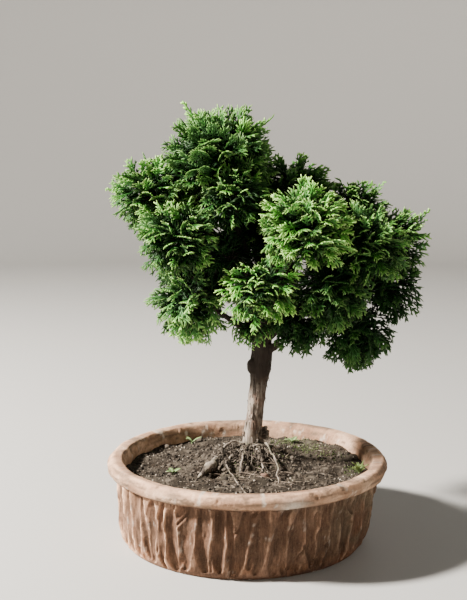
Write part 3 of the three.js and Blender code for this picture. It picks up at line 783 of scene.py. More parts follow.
def make_bowl():
    profile = [(radius, 0.0, "base") for radius in (20, 60, 80)]
    profile += [(*row, "wall") for row in smooth_rows(WALL, WALL_STEPS)]
    profile += [(*row, "lip") for row in smooth_rows(LIP_EDGES, LIP_STEPS)[1:-1]]
    profile += [(*row, "inside") for row in smooth_rows(INSIDE, INSIDE_STEPS)]
    profile += [(60, POT_FLOOR, "base"), (20, POT_FLOOR, "base")]
    bowl = lathe("bowl", [(0, 0.0), *profile, (0, POT_FLOOR)], POT_COLUMNS, pot_row)
    drill_drains(bowl)
    paint_bowl(bowl)
    dress(bowl, terracotta(), "terracotta", "pot")


# ---- Soil ----

SOIL_COLUMNS = 420
SOIL_RINGS = 118
# How far out loose bits lie, all over the soil and in patches.
COVER_RADIUS = 83.5
PATCH_RADIUS = 82
# How far the soil's middle is to the left of the bowl's foot.
SOIL_LEAN = 0.6


def soil_height(x, y):
    from_mound = np.hypot((x - 3) / 20, (y - 8) / 19)
    from_flap = np.hypot((x - 46) / 24, (y - 48) / 15)
    crack = bell(y - 20 - 0.08 * (x - 50), 3.5) * bell(x - 52, 22)
    rough = 0.9 * np.sin(x / 8.3 + y / 6.1) + 0.7 * np.sin(x / 4.7 - y / 5.9 + 1)
    return SOIL_EDGE + 16.5 * bell(from_mound, 1) + 4.5 * bell(from_flap, 1) - 3 * crack + rough


def ground(x, y):
    """The surface of the fine soil: the same heights with clods and grains."""
    flat = table(x, y, 0)
    clods = 1.1 * noise_at(flat, 7.0, 51, 3) + 0.55 * np.abs(noise_at(flat, 2.6, 57, 3))
    crevice = bell(y - 20.5 - 0.08 * (x - 50) - 1.5 * noise_at(flat, 9, 61, 2), 1.1) * bell(x - 52, 20)
    hollow = 5.5 * bell(np.hypot((x - 3) / 10, (y + 8) / 7.5), 1) * (1 + 0.5 * noise_at(flat, 4.5, 67, 2))
    hollow += 4.0 * bell(np.hypot((x + 24) / 9, (y + 22) / 3.5), 1)
    return soil_height(x, y) + clods - 2.6 * crevice - hollow


def make_soil():
    turn = np.arange(SOIL_COLUMNS) * 2 * pi / SOIL_COLUMNS

    def soil_row(row):
        radius, z = row
        x, y = radius * np.sin(turn), -radius * np.cos(turn)
        height = z if z < SOIL_EDGE else ground(x, y)
        return table(x + lean_at(height), y, height)

    rows = [(0, POT_FLOOR + 0.4), (78.9, POT_FLOOR + 2.4)]
    rows += [(radius, SOIL_EDGE) for radius in np.linspace(SOIL_RADIUS, 0.8, SOIL_RINGS)]
    soil = lathe("earth", [*rows, (0, 66.0)], SOIL_COLUMNS, soil_row)
    points = points_of(soil)
    points[-1, 2] = points[-3 - SOIL_COLUMNS:-2, 2].mean()
    move_to(soil, points)
    x, y, _ = points.T
    pale = blots(points, 5.0, 71, 3, 2.4, -0.35)
    pale = np.maximum(pale, 0.6 * bell(np.hypot((x - 46) / 20, (y - 44) / 11), 1))
    damp_and_painted_shade = bell(np.hypot(x - 5, y + 4), 16) + bell(np.hypot(x - 38, y - 48), 13)
    green = blots(points, 6.0, 77, 2, 2, -0.1) * np.clip(damp_and_painted_shade, 0, 1)
    # Painted shade in the hollow under the front of the root mound.
    hollow = bell(np.hypot((x - 4) / 15, (y + 6) / 10), 1)
    dark = np.clip(hollow * (0.6 + 1.2 * noise_at(points, 5.0, 79, 2)), 0, 1)
    paint(soil.data, table(pale, green, dark))
    dress(soil, earth(), "soil", "soil")


def scattered(count, seed, middle=None, spread=None):
    """Places on the soil as (x, y), even over it or thick round a middle."""
    draw = default_rng(seed)
    if middle is None:
        radius = COVER_RADIUS * np.sqrt(draw.random(count))
        turn = draw.random(count) * 2 * pi
        return table(radius * np.cos(turn), radius * np.sin(turn))
    places = draw.normal(0, 1, (count, 2)) * spread + np.array(middle)
    return places[np.hypot(*places.T) < PATCH_RADIUS]


def copies(name, points, faces, draw):
    """One mesh of many copies of the same faces, each with its own points and its own shade."""
    count, each = points.shape[:2]
    faces = faces + (np.arange(count) * each)[:, None, None]
    level = np.repeat(draw.random(count), each)
    return mesh_object(name, points.reshape(-1, 3), faces.reshape(-1, 4), table(level, level))


def lumps(name, places, sizes, sunk, seed, detail=(3, 5), lift=None):
    """Uneven lumps on the ground, as one mesh."""
    draw = default_rng(seed)
    points, faces = ball(*detail)
    count = len(places)
    uneven = 1 + 0.28 * draw.normal(0, 1, (count, len(points), 1)) * 0.6
    frames = np.linalg.qr(draw.normal(0, 1, (count, 3, 3)))[0]
    stretch = sizes[:, None, None] * (0.65 + 0.7 * draw.random((count, 1, 3)))
    shaped = np.einsum("nvi,nij->nvj", points[None] * uneven * stretch, frames)
    heights = (ground(*places.T) if lift is None else lift) + sizes * (0.5 - sunk)
    middles = table(places[:, 0] - SOIL_LEAN, places[:, 1], heights)
    return copies(name, shaped + middles[:, None], faces, draw)


def strips(name, places, lengths, width, rise, seed, bend=0.3, segments=4, lift=0.4):
    """Thin bent strips that lie or stand on the ground, as one mesh."""
    draw = default_rng(seed)
    count = len(places)
    turn = draw.random(count) * 2 * pi
    heading = table(np.cos(turn), np.sin(turn), 0)
    side = np.cross(UP, heading)
    rises = rise * (0.4 + 1.2 * draw.random(count))
    bends = bend * (2 * draw.random(count) - 1)
    wide = width * (0.6 + 0.8 * draw.random(count))
    base = table(*places.T, ground(*places.T) + lift)
    rings = []
    for part in np.linspace(0, 1, segments + 1):
        middle = base + heading * (lengths * part)[:, None] + side * (lengths * bends * part * part)[:, None]
        middle[:, 2] += lengths * rises * part * (1 - 0.35 * part)
        half = (wide * (1 - 0.75 * part * part) / 2)[:, None]
        up = UP * half * 0.6
        rings.append(table(middle - side * half, middle - up, middle + side * half, middle + up))
    return copies(name, np.concatenate(rings, 1), bar_faces(segments + 1), draw)


# Where soil clings to the roots: which root, from which share of its way to which, how many lumps, and how
# far below and in front of it.
SOILED_ROOTS = [(0, 0.42, 0.78, 260, 0, 0), (0, 0.05, 0.55, 300, 2.6, 3.4), (2, 0.05, 0.55, 130, 0, 0),
                (3, 0.0, 0.5, 190, 0, 0), (4, 0.05, 0.75, 150, 0, 0)]
# Where moss grows: middle, spread and how many strands.
MOSS_PATCHES = [((32, 57), (8, 4), 170), ((44, 38), (9, 4), 190), ((4, -8), (11, 9), 130),
                ((60, 30), (9, 3), 80), ((22, 10), (6, 6), 70), ((76, -4), (4, 6), 190)]
PALE_STONES = ([(-30.8, -77.7), (-61, -38), (50, -55), (-12, -70)], [1.9, 1.2, 1.3, 1.1])
RED_STONES = ([(12.6, -29.5), (30, -62)], [2.4, 1.3])


def cover(draw, make, name, material, places, least, span, power, *details, slot="soil"):
    """Covers places with lumps or strips, of sizes from the least up by the span."""
    sizes = least + span * draw.random(len(places)) ** power
    dress(make(name, places, sizes, *details), material, slot)


def make_ground_cover():
    crumb = speckled("crumb", (0.018, 0.014, 0.01), (0.105, 0.083, 0.064), 0.97)
    grit = speckled("grit", (0.16, 0.125, 0.095), (0.52, 0.45, 0.37), 0.85)
    red = speckled("red_stone", (0.15, 0.085, 0.06), (0.44, 0.3, 0.21), 0.85)
    straw = speckled("straw", (0.24, 0.18, 0.125), (0.56, 0.47, 0.36), 0.85)
    rootlet = speckled("rootlet", (0.11, 0.08, 0.06), (0.36, 0.28, 0.215), 0.9)
    moss = speckled("moss", (0.035, 0.055, 0.018), (0.17, 0.2, 0.075), 0.95)

    draw = default_rng(3)
    places = np.concatenate([scattered(2600, 1), scattered(900, 2, (4, 0), (24, 24))])
    cover(draw, lumps, "crumbs", crumb, places, 0.3, 0.9, 3, 0.35, 4)
    cover(draw, lumps, "clods", crumb, scattered(150, 5), 0.9, 1.3, 2, 0.5, 6, (7, 10))

    draw = default_rng(19)
    for n, (root, first, last, count, below, before) in enumerate(SOILED_ROOTS):
        on_root = Curve(*ROOTS[root])
        shares = first + (last - first) * draw.random(count)
        spots = np.array([on_root.at(part) for part in shares])
        sideways = draw.normal(0, 1, (count, 2)) * (1.4 + 2.2 * shares[:, None])
        lift = spots[:, 2] + 0.8 - below - 0.5 * np.abs(sideways).sum(1)
        sideways[:, 1] -= before
        places = spots[:, :2] + sideways + (SOIL_LEAN, 0)
        cover(draw, lumps, f"root_soil_{n}", crumb, places, 0.45, 1, 1.5, 0.5, 18 + 40 * n, (4, 6), lift)

    cover(draw, lumps, "grit", grit, scattered(420, 7), 0.25, 0.45, 2, 0.2, 8)
    dress(lumps("pale_stones", *map(np.array, PALE_STONES), 0.25, 9, (7, 10)), grit, "soil")
    dress(lumps("red_stones", *map(np.array, RED_STONES), 0.2, 12, (8, 12)), red, "soil")

    places = np.concatenate([scattered(100, 13), scattered(90, 14, (4, -18), (20, 22))])
    cover(draw, strips, "straw", straw, places, 2, 5, 2, 0.36, 0.05, 15, 0.4)
    places = scattered(130, 16, (3, -14), (17, 16))
    cover(draw, strips, "rootlets", rootlet, places, 5, 10, 1, 0.5, 0.13, 17, 0.7, 6, 0.2, slot="bark")
    places = np.concatenate([scattered(count, 20 + k, middle, spread)
                             for k, (middle, spread, count) in enumerate(MOSS_PATCHES)])
    cover(draw, strips, "moss", moss, places, 0.8, 1, 2, 0.6, 1.4, 30, 0.2, 2, 0.0)


# ---- Wood ----

VOXEL = 0.6
WINDING = 3.0
# How thick the wood is of what its solid is, at the foot of the trunk and in the roots.
TRUNK_SHARES = [0.8, 0.74, 0.86, 0.96] + [1] * 9
THICK_ROOT_SHARES = [0.55, 0.8, 0.6, 0.95, 0.85]
THIN_ROOT_SHARE = 0.58


def branch_samples():
    samples = []
    for n, limb in enumerate([TRUNK, *LIMBS]):
        first = 0.62 if n == 0 else 0.15
        samples += [Curve(*limb).at(first + (0.98 - first) * i / 24) for i in range(25)]
    return samples


def twig_for(clump, samples):
    """The twig that carries a clump, from the nearest wood that lies lower."""
    at, reach, hang, _, _ = clump
    middle = np.array(at, float)
    start = min(samples, key=lambda sample: norm(sample - middle) + 0.8 * max(0, sample[2] - middle[2] + 6))
    back = start - middle
    end = middle + unit(back) * 0.15 * reach
    arch = (start + end) / 2
    arch[2] += 0.08 * norm(back) * (1 - 2 * hang)
    return Curve([start, arch, end], [2, 1.7, 1.3])


def needs_twig(clump):
    at, reach = clump[:2]
    return all(norm(np.subtract(route[-1], at)) > 0.5 * reach for route, _ in [*LIMBS, TRUNK])


def lump(place, size):
    points, faces = ball()
    return points * np.array(size) + np.array(place), faces


def fuse_wood():
    """Trunk, limbs, twigs and roots as one skin."""
    samples = branch_samples()
    parts = [tube(Curve(TRUNK[0], np.multiply(TRUNK[1], TRUNK_SHARES)), 40, 150, 0.08, 3)]
    parts += [tube(Curve(*limb), 18, 40, 0.16, n) for n, limb in enumerate(LIMBS)]
    parts += [tube(twig_for(clump, samples), 12, 20, 0.12, 20 + n)
              for n, clump in enumerate(CLUMPS.values()) if needs_twig(clump)]
    for n, (route, radii) in enumerate(ROOTS):
        thin = THICK_ROOT_SHARES if n == 0 else THIN_ROOT_SHARE
        root = winding(Curve(route, np.multiply(radii, thin)), WINDING, 140 + n)
        parts.append(tube(root, 16, 60, 0.5, 40 + n))
    parts += [tube(Curve(*DEAD_STUB), 16, 12, 0.2, 60)] + [lump(*one) for one in LUMPS]
    wood = mesh_object("tree_wood", *merged(parts))
    fuse = wood.modifiers.new("fuse", "REMESH")
    fuse.mode = "VOXEL"
    fuse.voxel_size = VOXEL * MM
    soften = wood.modifiers.new("soften", "SMOOTH")
    soften.factor = 0.5
    soften.iterations = 3
    apply_modifiers(wood)
    return wood


def make_wood():
    material = bark()
    wood = fuse_wood()
    points = points_of(wood)
    outward = vectors_of(wood.data.vertex_normals, "vector")
    z = points[:, 2]
    near = falling(z, 130, 200)
    is_root = falling(z, 60, 72)
    streaks = noise_at(points, (1.9, 1.9, 15), 81, 3)
    ropes = noise_at(points, (5.0, 5.0, 26), 83, 2)
    knots = noise_at(points, 6.5, 87, 3)
    cracks = rising(1 - np.abs(noise_at(points, (4.2, 4.2, 19), 91, 2)) * 3.4, 0.55, 1.0)
    along = (0.75 * streaks + 0.95 * ropes) * (1 - is_root) + 0.75 * knots
    burl = rising(7.5 - norm((points - BURL_MIDDLE) / (1, 1, 0.9), axis=1), 0, 3)
    ragged = 1 - 2.2 * np.abs(noise_at(points, (3.0, 3.0, 5.0), 89, 3))
    along = along + burl * (7.0 * noise_at(points, (4.0, 4.0, 3.0), 101, 3) + 2.6 * ragged - 1.6)
    move = (0.45 + 0.55 * near) * (along * 0.55 - 0.3 * cracks * (1 - 0.6 * is_root)) * (1 - 0.55 * is_root)
    move_to(wood, points + outward * move[:, None])
    # Worn patches, and a painted highlight that makes the lower trunk paler below the crown's shadow.
    worn_and_painted_highlight = rising(noise_at(points, (8, 8, 16), 95, 3) + 0.35 * falling(z, 84, 112), 0.05, 0.5)
    soiled = blots(points, 3.4, 103, 3, 2.4, 0.35) * (1 - 0.75 * rising(z, 56, 61))
    # Painted highlight: root surfaces that face up are paler, where no soil clings.
    bare_tops_and_painted_highlight = rising(outward[:, 2] + 0.5 * knots, 0.0, 0.8) * (1 - 0.75 * soiled)
    worn_and_painted_highlight = np.maximum(worn_and_painted_highlight * (1 - is_root), 0.8 * is_root * bare_tops_and_painted_highlight)
    moss = is_root * blots(points, 7, 97, 2, 2, -0.2)
    crack = np.clip(0.8 * cracks + 0.6 * rising(-along, 0.25, 1.0), 0, 1) * (1 - 0.5 * worn_and_painted_highlight)
    # Painted shadow of the crown: the upper trunk is darkened.
    crack = np.maximum(crack * 0.8, 0.97 * rising(z + 6 * knots, 94, 120))
    crack = np.maximum(crack, burl * np.clip(0.85 - 0.35 * along, 0.45, 0.97))
    crack = np.maximum(crack, 0.85 * is_root * soiled)
    paint(wood.data, table(crack, worn_and_painted_highlight, moss))
    dress(wood, material, "bark", "wood")
    hairs = [tube(Curve(*root), 6, 24, 0.3, 70 + n) for n, root in enumerate(fine_roots())]
    points, faces = merged(hairs)
    pale = blots(points, 6, 93, 2, 1.6, 0.35)
    tones = table(0.85 - 0.85 * pale, 0.9 * pale, 0.3 * (1 - pale))
    dress(mesh_object("fine_roots", points, faces, tones), material, "bark")
    dress(mesh_object("bark_flakes", *bark_flakes()), material, "bark")


FINE_ROOTS = 120
ROOT_POINTS = 9
LONG_ROOT = ([(22, -2, 52.5), (28, -11, 50.2), (38, -15, 49.4), (50, -17, 49.6), (59, -21, 49.0)], [0.5] * 5)
FLAKES = 170
FLAKE_RINGS = 6


def fine_roots():
    """The hair-thin roots that hold the mound: short curls that lie on it every way, and one long one."""
    roots = []
    draw = default_rng(9)
    for n in range(FINE_ROOTS):
        turn = radians(-205 + 230 * draw.random())
        away = 7 + 20 * draw.random()
        x, y = 3 + away * cos(turn), 9 + 0.85 * away * sin(turn)
        heading = turn + 1.1 * draw.normal()
        step = (0.5 + 1.0 * draw.random()) * (1.5 if n % 4 == 0 else 1)
        swing = 0.5 * draw.normal()
        route = []
        for k in range(ROOT_POINTS):
            arch = sin(pi * k / (ROOT_POINTS - 1)) * (0.8 + 1.6 * draw.random())
            route.append((x, y, float(soil_height(x, y)) - 0.9 + arch))
            heading += swing + 0.35 * draw.normal()
            x += step * cos(heading)
            y += step * sin(heading)
        radius = 0.16 + 0.3 * draw.random() ** 2
        roots.append((route, radius * np.linspace(1.3, 0.7, ROOT_POINTS)))
    return [*roots, LONG_ROOT]


def bark_flakes():
    """Loose strips of bark that have sprung from the trunk and the burl."""
    curve = Curve(*TRUNK)
    draw = default_rng(21)
    parts = []
    for _ in range(FLAKES):
        along = 0.13 + 0.5 * draw.random()
        turn = 2 * pi * draw.random()
        middle = curve.at(along)
        radius = curve.radius(along) * 0.95
        out = np.array([cos(turn), sin(turn), 0])
        side = np.cross(UP, out)
        length = 3 + 6.5 * draw.random()
        half = 0.3 + 0.5 * draw.random()
        lift = 0.2 + 0.6 * draw.random()
        up = 1 if draw.random() < 0.6 else -1
        rings = []
        for part in np.arange(FLAKE_RINGS) / (FLAKE_RINGS - 1):
            place = middle + out * (radius + lift * part**2) + UP * (up * (part - 0.5) * length)
            wide = side * (half * (1 - 0.45 * part) * (1 + 0.3 * (draw.random() - 0.5)))
            rings += [place - wide - out * 0.3, place - wide, place + wide, place + wide - out * 0.3]
        # Flakes high on the trunk stay dark: painted shadow of the crown.
        shade = draw.random() * float(falling(middle[2], 88, 112))
        parts.append(toned((np.array(rings), bar_faces(FLAKE_RINGS)), 0.9 - 0.9 * shade, shade, 0))
    return merged(parts)


# ---- Foliage ----

SCALE_WIDTH = 1.15
SCALE_THICKNESS = 0.7
SHOOT_SPACING = 2.1
SPRAY_LENGTHS = [10, 13, 16, 20]
VARIANTS = 4
SLENDER_LENGTH = 28
SHOOTS_PER_TIP = 6
CLUMP_TWIGS = 14
# A fan that would have to be made smaller than this to fit the box is left out.
LEAST_FIT = 0.4
# Tones of a shoot's left edge, lower side, right edge and upper side.
SHOOT_SIDES = [0.8, 0.0, 0.8, 1.0]


def branchlet(start, heading, length, width, steps, curl, birth, full):
    """One shoot of scale leaves: a flat tube with scalloped edges and a blunt end, its middles and its turns.
    birth is how far along the spray it starts, and full is how long the spray is."""
    along = np.linspace(0, 1, steps + 1)
    turn = heading + curl * along
    forward = table(np.sin(turn), np.cos(turn))
    middles = np.concatenate([[start], start + np.cumsum(forward[:-1] * (length / steps), 0)])
    half = width / 2 * np.where(np.arange(steps + 1) % 2 == 1, 1.14, 0.84)
    half[-1] = width * 0.27
    side = table(forward[:, 1], -forward[:, 0]) * half[:, None]
    thick = np.full(steps + 1, SCALE_THICKNESS / 2)
    thick[-1] *= 0.45
    rings = np.zeros((steps + 1, 4, 3))
    rings[:, :, :2] = table(middles - side, middles, middles + side, middles)
    rings[:, 1, 2] = -thick
    rings[:, 3, 2] = thick
    reached = np.clip((birth + along * length) / full, 0, 1)
    tip = 0.55 * reached + 0.45 * along**1.5 * min(1, 0.35 + 0.65 * birth / full * 1.6)
    tones = table(np.repeat(tip, 4), np.tile(SHOOT_SIDES, steps + 1))
    return (rings.reshape(-1, 3), bar_faces(steps + 1, True), tones), middles, turn


def fan_spray(length, breadth, seed):
    """A flat fan of forking shoots that grows along +Y from the origin: points, faces and tones."""
    draw = default_rng(seed)
    parts = []

    def grow(start, heading, size, level, birth, curl):
        width = SCALE_WIDTH * (1.0 - 0.06 * level) * (0.9 + 0.2 * draw.random())
        steps = max(2, int(round(size / (1.9 if level < 2 else 2.2))))
        shoot, middles, turn = branchlet(start, heading, size, width, steps, curl, birth, length)
        parts.append(shoot)
        count = int(size / SHOOT_SPACING) if level < 2 else 0
        for k in range(1, count + 1):
            part = (k - 0.35 + 0.3 * draw.random()) / (count + 0.55)
            sign = 1 if (k + level) % 2 else -1
            at = part * (len(middles) - 1)
            low = min(int(at), len(middles) - 2)
            place = middles[low] + (middles[low + 1] - middles[low]) * (at - low)
            spread = radians(46 - 10 * part + 10 * (draw.random() - 0.5))
            if level == 0:
                reach = breadth * length * (0.4 + 0.5 * sin(pi * min(1, part * 0.95 + 0.12)))
                reach = min(reach, (1.08 - part) * length * 1.15)
            else:
                reach = min(0.62 * size * (1.12 - part), 5.4)
            reach *= 0.85 + 0.3 * draw.random()
            if reach > 1.7:
                bend = -sign * 0.42 * (0.6 + 0.6 * draw.random())
                grow(place, turn[low] + sign * spread, reach, level + 1, birth + part * size, bend)

    grow(np.zeros(2), 0.0, length * 0.97, 0, 0.0, 0.24 * (draw.random() - 0.5))
    points, faces, tones = merged(parts)
    points[:, 2] += 0.5 * np.sin(points[:, 0] / 3.1 + seed) + 0.4 * np.sin(points[:, 1] / 2.7 + 2 * seed)
    return points, faces, tones


FANS = {(size, v): fan_spray(size, 0.52, 100 * n + v)
        for n, size in enumerate(SPRAY_LENGTHS) for v in range(VARIANTS)}
SLENDER_FANS = [fan_spray(SLENDER_LENGTH, 0.2, 900 + v) for v in range(3)]


def place_fan(fan, scale, start, along, facing, roll, cup, twist, arch, broad=1.0):
    """The points of a fan stood at a place, its upper face turned outwards, arched, cupped and twisted."""
    points = fan[0] * scale * (broad, 1, broad)
    reach = max(points[:, 1].max(), 1)
    wide = max(np.abs(points[:, 0]).max(), 1)
    angle = twist * points[:, 1] / reach
    x = points[:, 0] * np.cos(angle) - points[:, 2] * np.sin(angle)
    z = points[:, 0] * np.sin(angle) + points[:, 2] * np.cos(angle)
    y = points[:, 1]
    z = z - arch * reach * (y / reach) ** 2 - cup * reach * (x / wide) ** 2
    face = facing - along * np.dot(facing, along)
    if norm(face) < 0.2:
        face = np.array([0.3, -1, 0.2])
        face = face - along * np.dot(face, along)
    face = unit(face)
    rolled = face * cos(roll) + np.cross(along, face) * sin(roll)
    face = rolled + along * np.dot(along, face) * (1 - cos(roll))
    across = np.cross(along, face)
    return start + x[:, None] * across + y[:, None] * along + z[:, None] * face


# Layers of sprays from the outside in: how many for the clump's size, where they start and end as shares
# of its reach, how much painted light they get (the inner ones are painted in shade), and how broad they are
# drawn.
LAYERS = [(1 / 7.5, 0.6, 1.05, 1.0, 1.0), (1 / 17, 0.4, 0.9, 0.4, 1.25), (1 / 34, 0.12, 0.72, 0.12, 1.9)]
# How much the sprays lie in level tiers, from 0 where they stand out all round to 1, and for some clumps.
TIERED = 0.5
TIERED_CLUMPS = {"dome": 0.15, "dome_front": 0.6, "dome_back": 0.2, "front_right": 0.7, "front_low": 0.7,
                 "left": 0.35}
RISE_SPREAD = 0.24
# Clumps in the shade of the others, and how much of their light is left.
SHADED_CLUMPS = {"right_low": 0.38, "right_hanging": 0.48, "centre_hanging": 0.36, "right_inner": 0.48,
                 "middle": 0.2}
# How much painted shade a clump in the left half of the crown gets on its own left side, as less young growth
# and darker tones.
LEFT_SHADE = 0.55
# Hollows in the crown, which no spray reaches and round which the sprays are painted in shade: the middle and
# the half sizes.
HOLLOWS = [((-0.5, -30, 210), (12.5, 30, 18.5))]
# Clumps whose sprays show more of their pale lower side.
PALE_CLUMPS = {"left_low": 0.7, "left_middle": 0.15, "trunk_hanging": 0.25}
# The solids' box, a bit smaller.
BOX_LOW, BOX_HIGH = [np.array(corner) / MM + inset for corner, inset in zip(cad_bounds, (0.3, -0.3))]


def axes_for(middle, hang):
    """Three axes of a clump. The last is the way its sprays sweep: up and a bit outwards, or outwards and
    down where it hangs."""
    pole = unit(0.45 * unit(middle - CROWN_MIDDLE) + np.array([0, 0, 1.0 - 1.75 * hang]))
    side = unit(np.cross(pole, [0.31, 0.95, 0.05]))
    return np.array([side, np.cross(pole, side), pole])


def spiral(i, count, span, number, sway=0.0):
    """One of the directions spread evenly over a ball, from its pole down over a span of its height."""
    z = 1 - span * (i + 0.4) / count
    level = sqrt(1 - z * z)
    turn = i * GOLDEN + number * 2.4 + sway
    return np.array([level * cos(turn), level * sin(turn), z])


def heading_of(facing, hang, tiered, draw):
    """Which way a spray grows where the clump faces that way: more level where the sprays lie in tiers, and
    down where the clump hangs."""
    level = asin(max(-1.0, min(1.0, facing[2])))
    rise = level * (1 - 0.6 * tiered * (1 - abs(level) / pi)) + 0.18 - 0.26 * tiered
    rise += RISE_SPREAD * draw.normal() - 0.8 * hang * (1 - 0.6 * float(rising(level, 0.0, 1.0)))
    turn = atan2(facing[1], facing[0]) + 0.34 * draw.normal()
    along = np.array([cos(turn) * cos(rise), sin(turn) * cos(rise), sin(rise)])
    short = 0.45 - np.dot(along, facing)
    return unit(along + max(0.0, short) * facing)


def buried(points, clump):
    """How deep points lie inside the other clumps, as a share of their reach."""
    deepest = np.zeros(len(points))
    for other in CLUMPS.values():
        if other is not clump:
            deepest = np.maximum(deepest, 1 - norm(points - np.array(other[0], float), axis=1) / other[1])
    return deepest


def hollow_at(points):
    """From 0 inside a dark hollow to 1 well outside all of them."""
    clear = np.ones(len(points))
    for place, sizes in HOLLOWS:
        clear *= rising(norm((points - place) / sizes, axis=1), 0.8, 1.3)
    return clear


def clump_sprays(number, name, clump):
    """Every placed fan of a clump: points, faces and tones."""
    at, reach, hang, light, tips = clump
    middle = np.array(at, float)
    axes = axes_for(middle, hang)
    draw = default_rng(500 + number)
    tiered = TIERED_CLUMPS.get(name, TIERED)
    open_to_light = float(rising(light, 0.6, 1.0))
    left_share = LEFT_SHADE * float(rising(-middle[0], 0, 20))
    parts = []

    def keep(fan, placed, root, depth, own_light):
        """Adds a fan, made smaller from its root where it would leave the solids' box."""
        above = (BOX_HIGH - root) / np.maximum(placed.max(0) - root, 1e-6)
        below = (root - BOX_LOW) / np.maximum(root - placed.min(0), 1e-6)
        fit = min(1.0, above.min(), below.min())
        if fit < LEAST_FIT:
            return
        placed = root + (placed - root) * fit
        # Painted shade: a fan is darker deeper in its clump and on the side away from its pole, less so in
        # clumps open to the light.
        from_middle = norm(placed - middle, axis=1) / reach
        to_pole = np.einsum("ij,j->i", (placed - middle) / reach, axes[2])
        inward = np.clip(0.5 * to_pole + 0.74 + 0.26 * open_to_light, 0.35, 1)
        outside = rising(from_middle, 0.56 - 0.12 * open_to_light, 1.0 - 0.14 * open_to_light)
        lit = depth * (0.04 + 0.96 * outside) * inward
        parts.append((placed, fan[1], table(fan[2][:, 0], np.clip(own_light, 0, 1), lit, fan[2][:, 1])))

    for per_area, first, last, depth, broad in LAYERS:
        count = int(round(reach * reach * per_area))
        for i in range(count):
            local = spiral(i, count, 1.88, number, 0.5 * draw.random())
            z = float(local[2])
            facing = unit(local @ axes + 0.14 * draw.normal(0, 1, 3))
            along = heading_of(facing, hang, tiered, draw)
            flat = 1.0 + 0.05 * sin(pi * max(0.0, 1 - abs(z))) - 0.26 * float(rising(-z, 0.15, 0.9))
            flat *= 1 + 0.16 * float(noise_at((facing * 10 + 37 * number)[None], 9.0, 3, 2)[0])
            start = first * reach * flat
            end = reach * last * flat * (0.87 + 0.15 * draw.random())
            aside = float(np.dot(facing, along))
            wanted = -start * aside + sqrt(end**2 - start**2 * (1 - aside**2))
            wanted = min(wanted, SPRAY_LENGTHS[-1] * 1.1)
            size = min(SPRAY_LENGTHS, key=lambda length: abs(length - wanted))
            fan = FANS[size, int(draw.integers(VARIANTS))]
            face = unit(0.4 * facing + [0, 0, 0.9] + 0.25 * draw.normal(0, 1, 3))
            root = middle + facing * start
            placed = place_fan(fan, wanted / size, root, along, face, (0.75 - 0.45 * tiered) * draw.normal(),
                               0.02 + 0.16 * draw.random(), 0.7 * (draw.random() - 0.5),
                               0.28 * draw.random() - 0.07, broad)
            # Painted light: sprays on a clump's upper side are brighter.
            own = light * (0.6 + 0.7 * draw.random()) + 0.12 * draw.normal() + 0.25 * z * light
            left_side_shade = left_share * float(rising(-facing[0], 0.25, 0.9))
            tip = (root + along * wanted)[None]
            if buried(tip, clump)[0] < 0.4 and hollow_at(tip)[0] > 0.05:
                keep(fan, placed, root, depth * (1 - 0.6 * left_side_shade), own * (1 - left_side_shade))
    for k, tip in enumerate(tips):
        line = np.array(tip, float) - middle
        along = unit(line)
        length = norm(line)
        for j in range(SHOOTS_PER_TIP):
            fan = SLENDER_FANS[(k + j) % 3]
            sway = unit(along + (0.0 if j == 0 else 0.06) * draw.normal(0, 1, 3))
            far = length if j == 0 else length * (0.68 + 0.22 * draw.random())
            begin = 0.45 * reach
            root = middle + sway * begin
            placed = place_fan(fan, (far - begin) / SLENDER_LENGTH, root, sway, sway, draw.random() * 3, 0.1,
                               0.6 * (draw.random() - 0.5), 0.04)
            keep(fan, placed, root, 1.0, light + 0.3)
    points, faces, tones = merged(parts)
    # Painted shade where the fans lie inside other clumps and round the hollows.
    tones[:, 2] *= (1 - 0.8 * rising(buried(points, clump), 0.02, 0.4)) * (0.1 + 0.9 * hollow_at(points))
    tones[:, 2] *= SHADED_CLUMPS.get(name, 1.0)
    tones[:, 3] *= 1 - PALE_CLUMPS.get(name, 0.0)
    return points, faces, tones


def make_foliage():
    material = leaf_scales()
    for number, (name, clump) in enumerate(CLUMPS.items()):
        piece = mesh_object("sprays_" + name, *clump_sprays(number, name, clump))
        dress(piece, material, "foliage", "foliage_" + name)


def make_inner_twigs():
    """The fine twigs that carry the sprays of each clump, coloured near-black as painted shade inside the
    crown.
    """
    parts = []
    for number, (at, reach, hang, _, _) in enumerate(CLUMPS.values()):
        middle = np.array(at, float)
        axes = axes_for(middle, hang)
        draw = default_rng(700 + number)
        for i in range(CLUMP_TWIGS):
            facing = spiral(i, CLUMP_TWIGS, 1.7, number) @ axes
            bend = middle + facing * 0.2 * reach + 1.6 * draw.normal(0, 1, 3)
            parts.append(tube(Curve([middle, bend, middle + facing * 0.34 * reach], [0.7, 0.5, 0.3]), 6, 6))
    # Near-black twig colour: painted shade for the inside of the crown.
    shaded_twig = speckled("inner_twig", (0.01, 0.008, 0.006), (0.028, 0.02, 0.015))
    dress(mesh_object("inner_twigs", *toned(merged(parts), 0.5, 0.5)), shaded_twig, "bark")


# ---- Seedlings and grass ----

BLADE_ROWS = 10
BLADE_COLUMNS = 6
BLADE_THICKNESS = 0.28


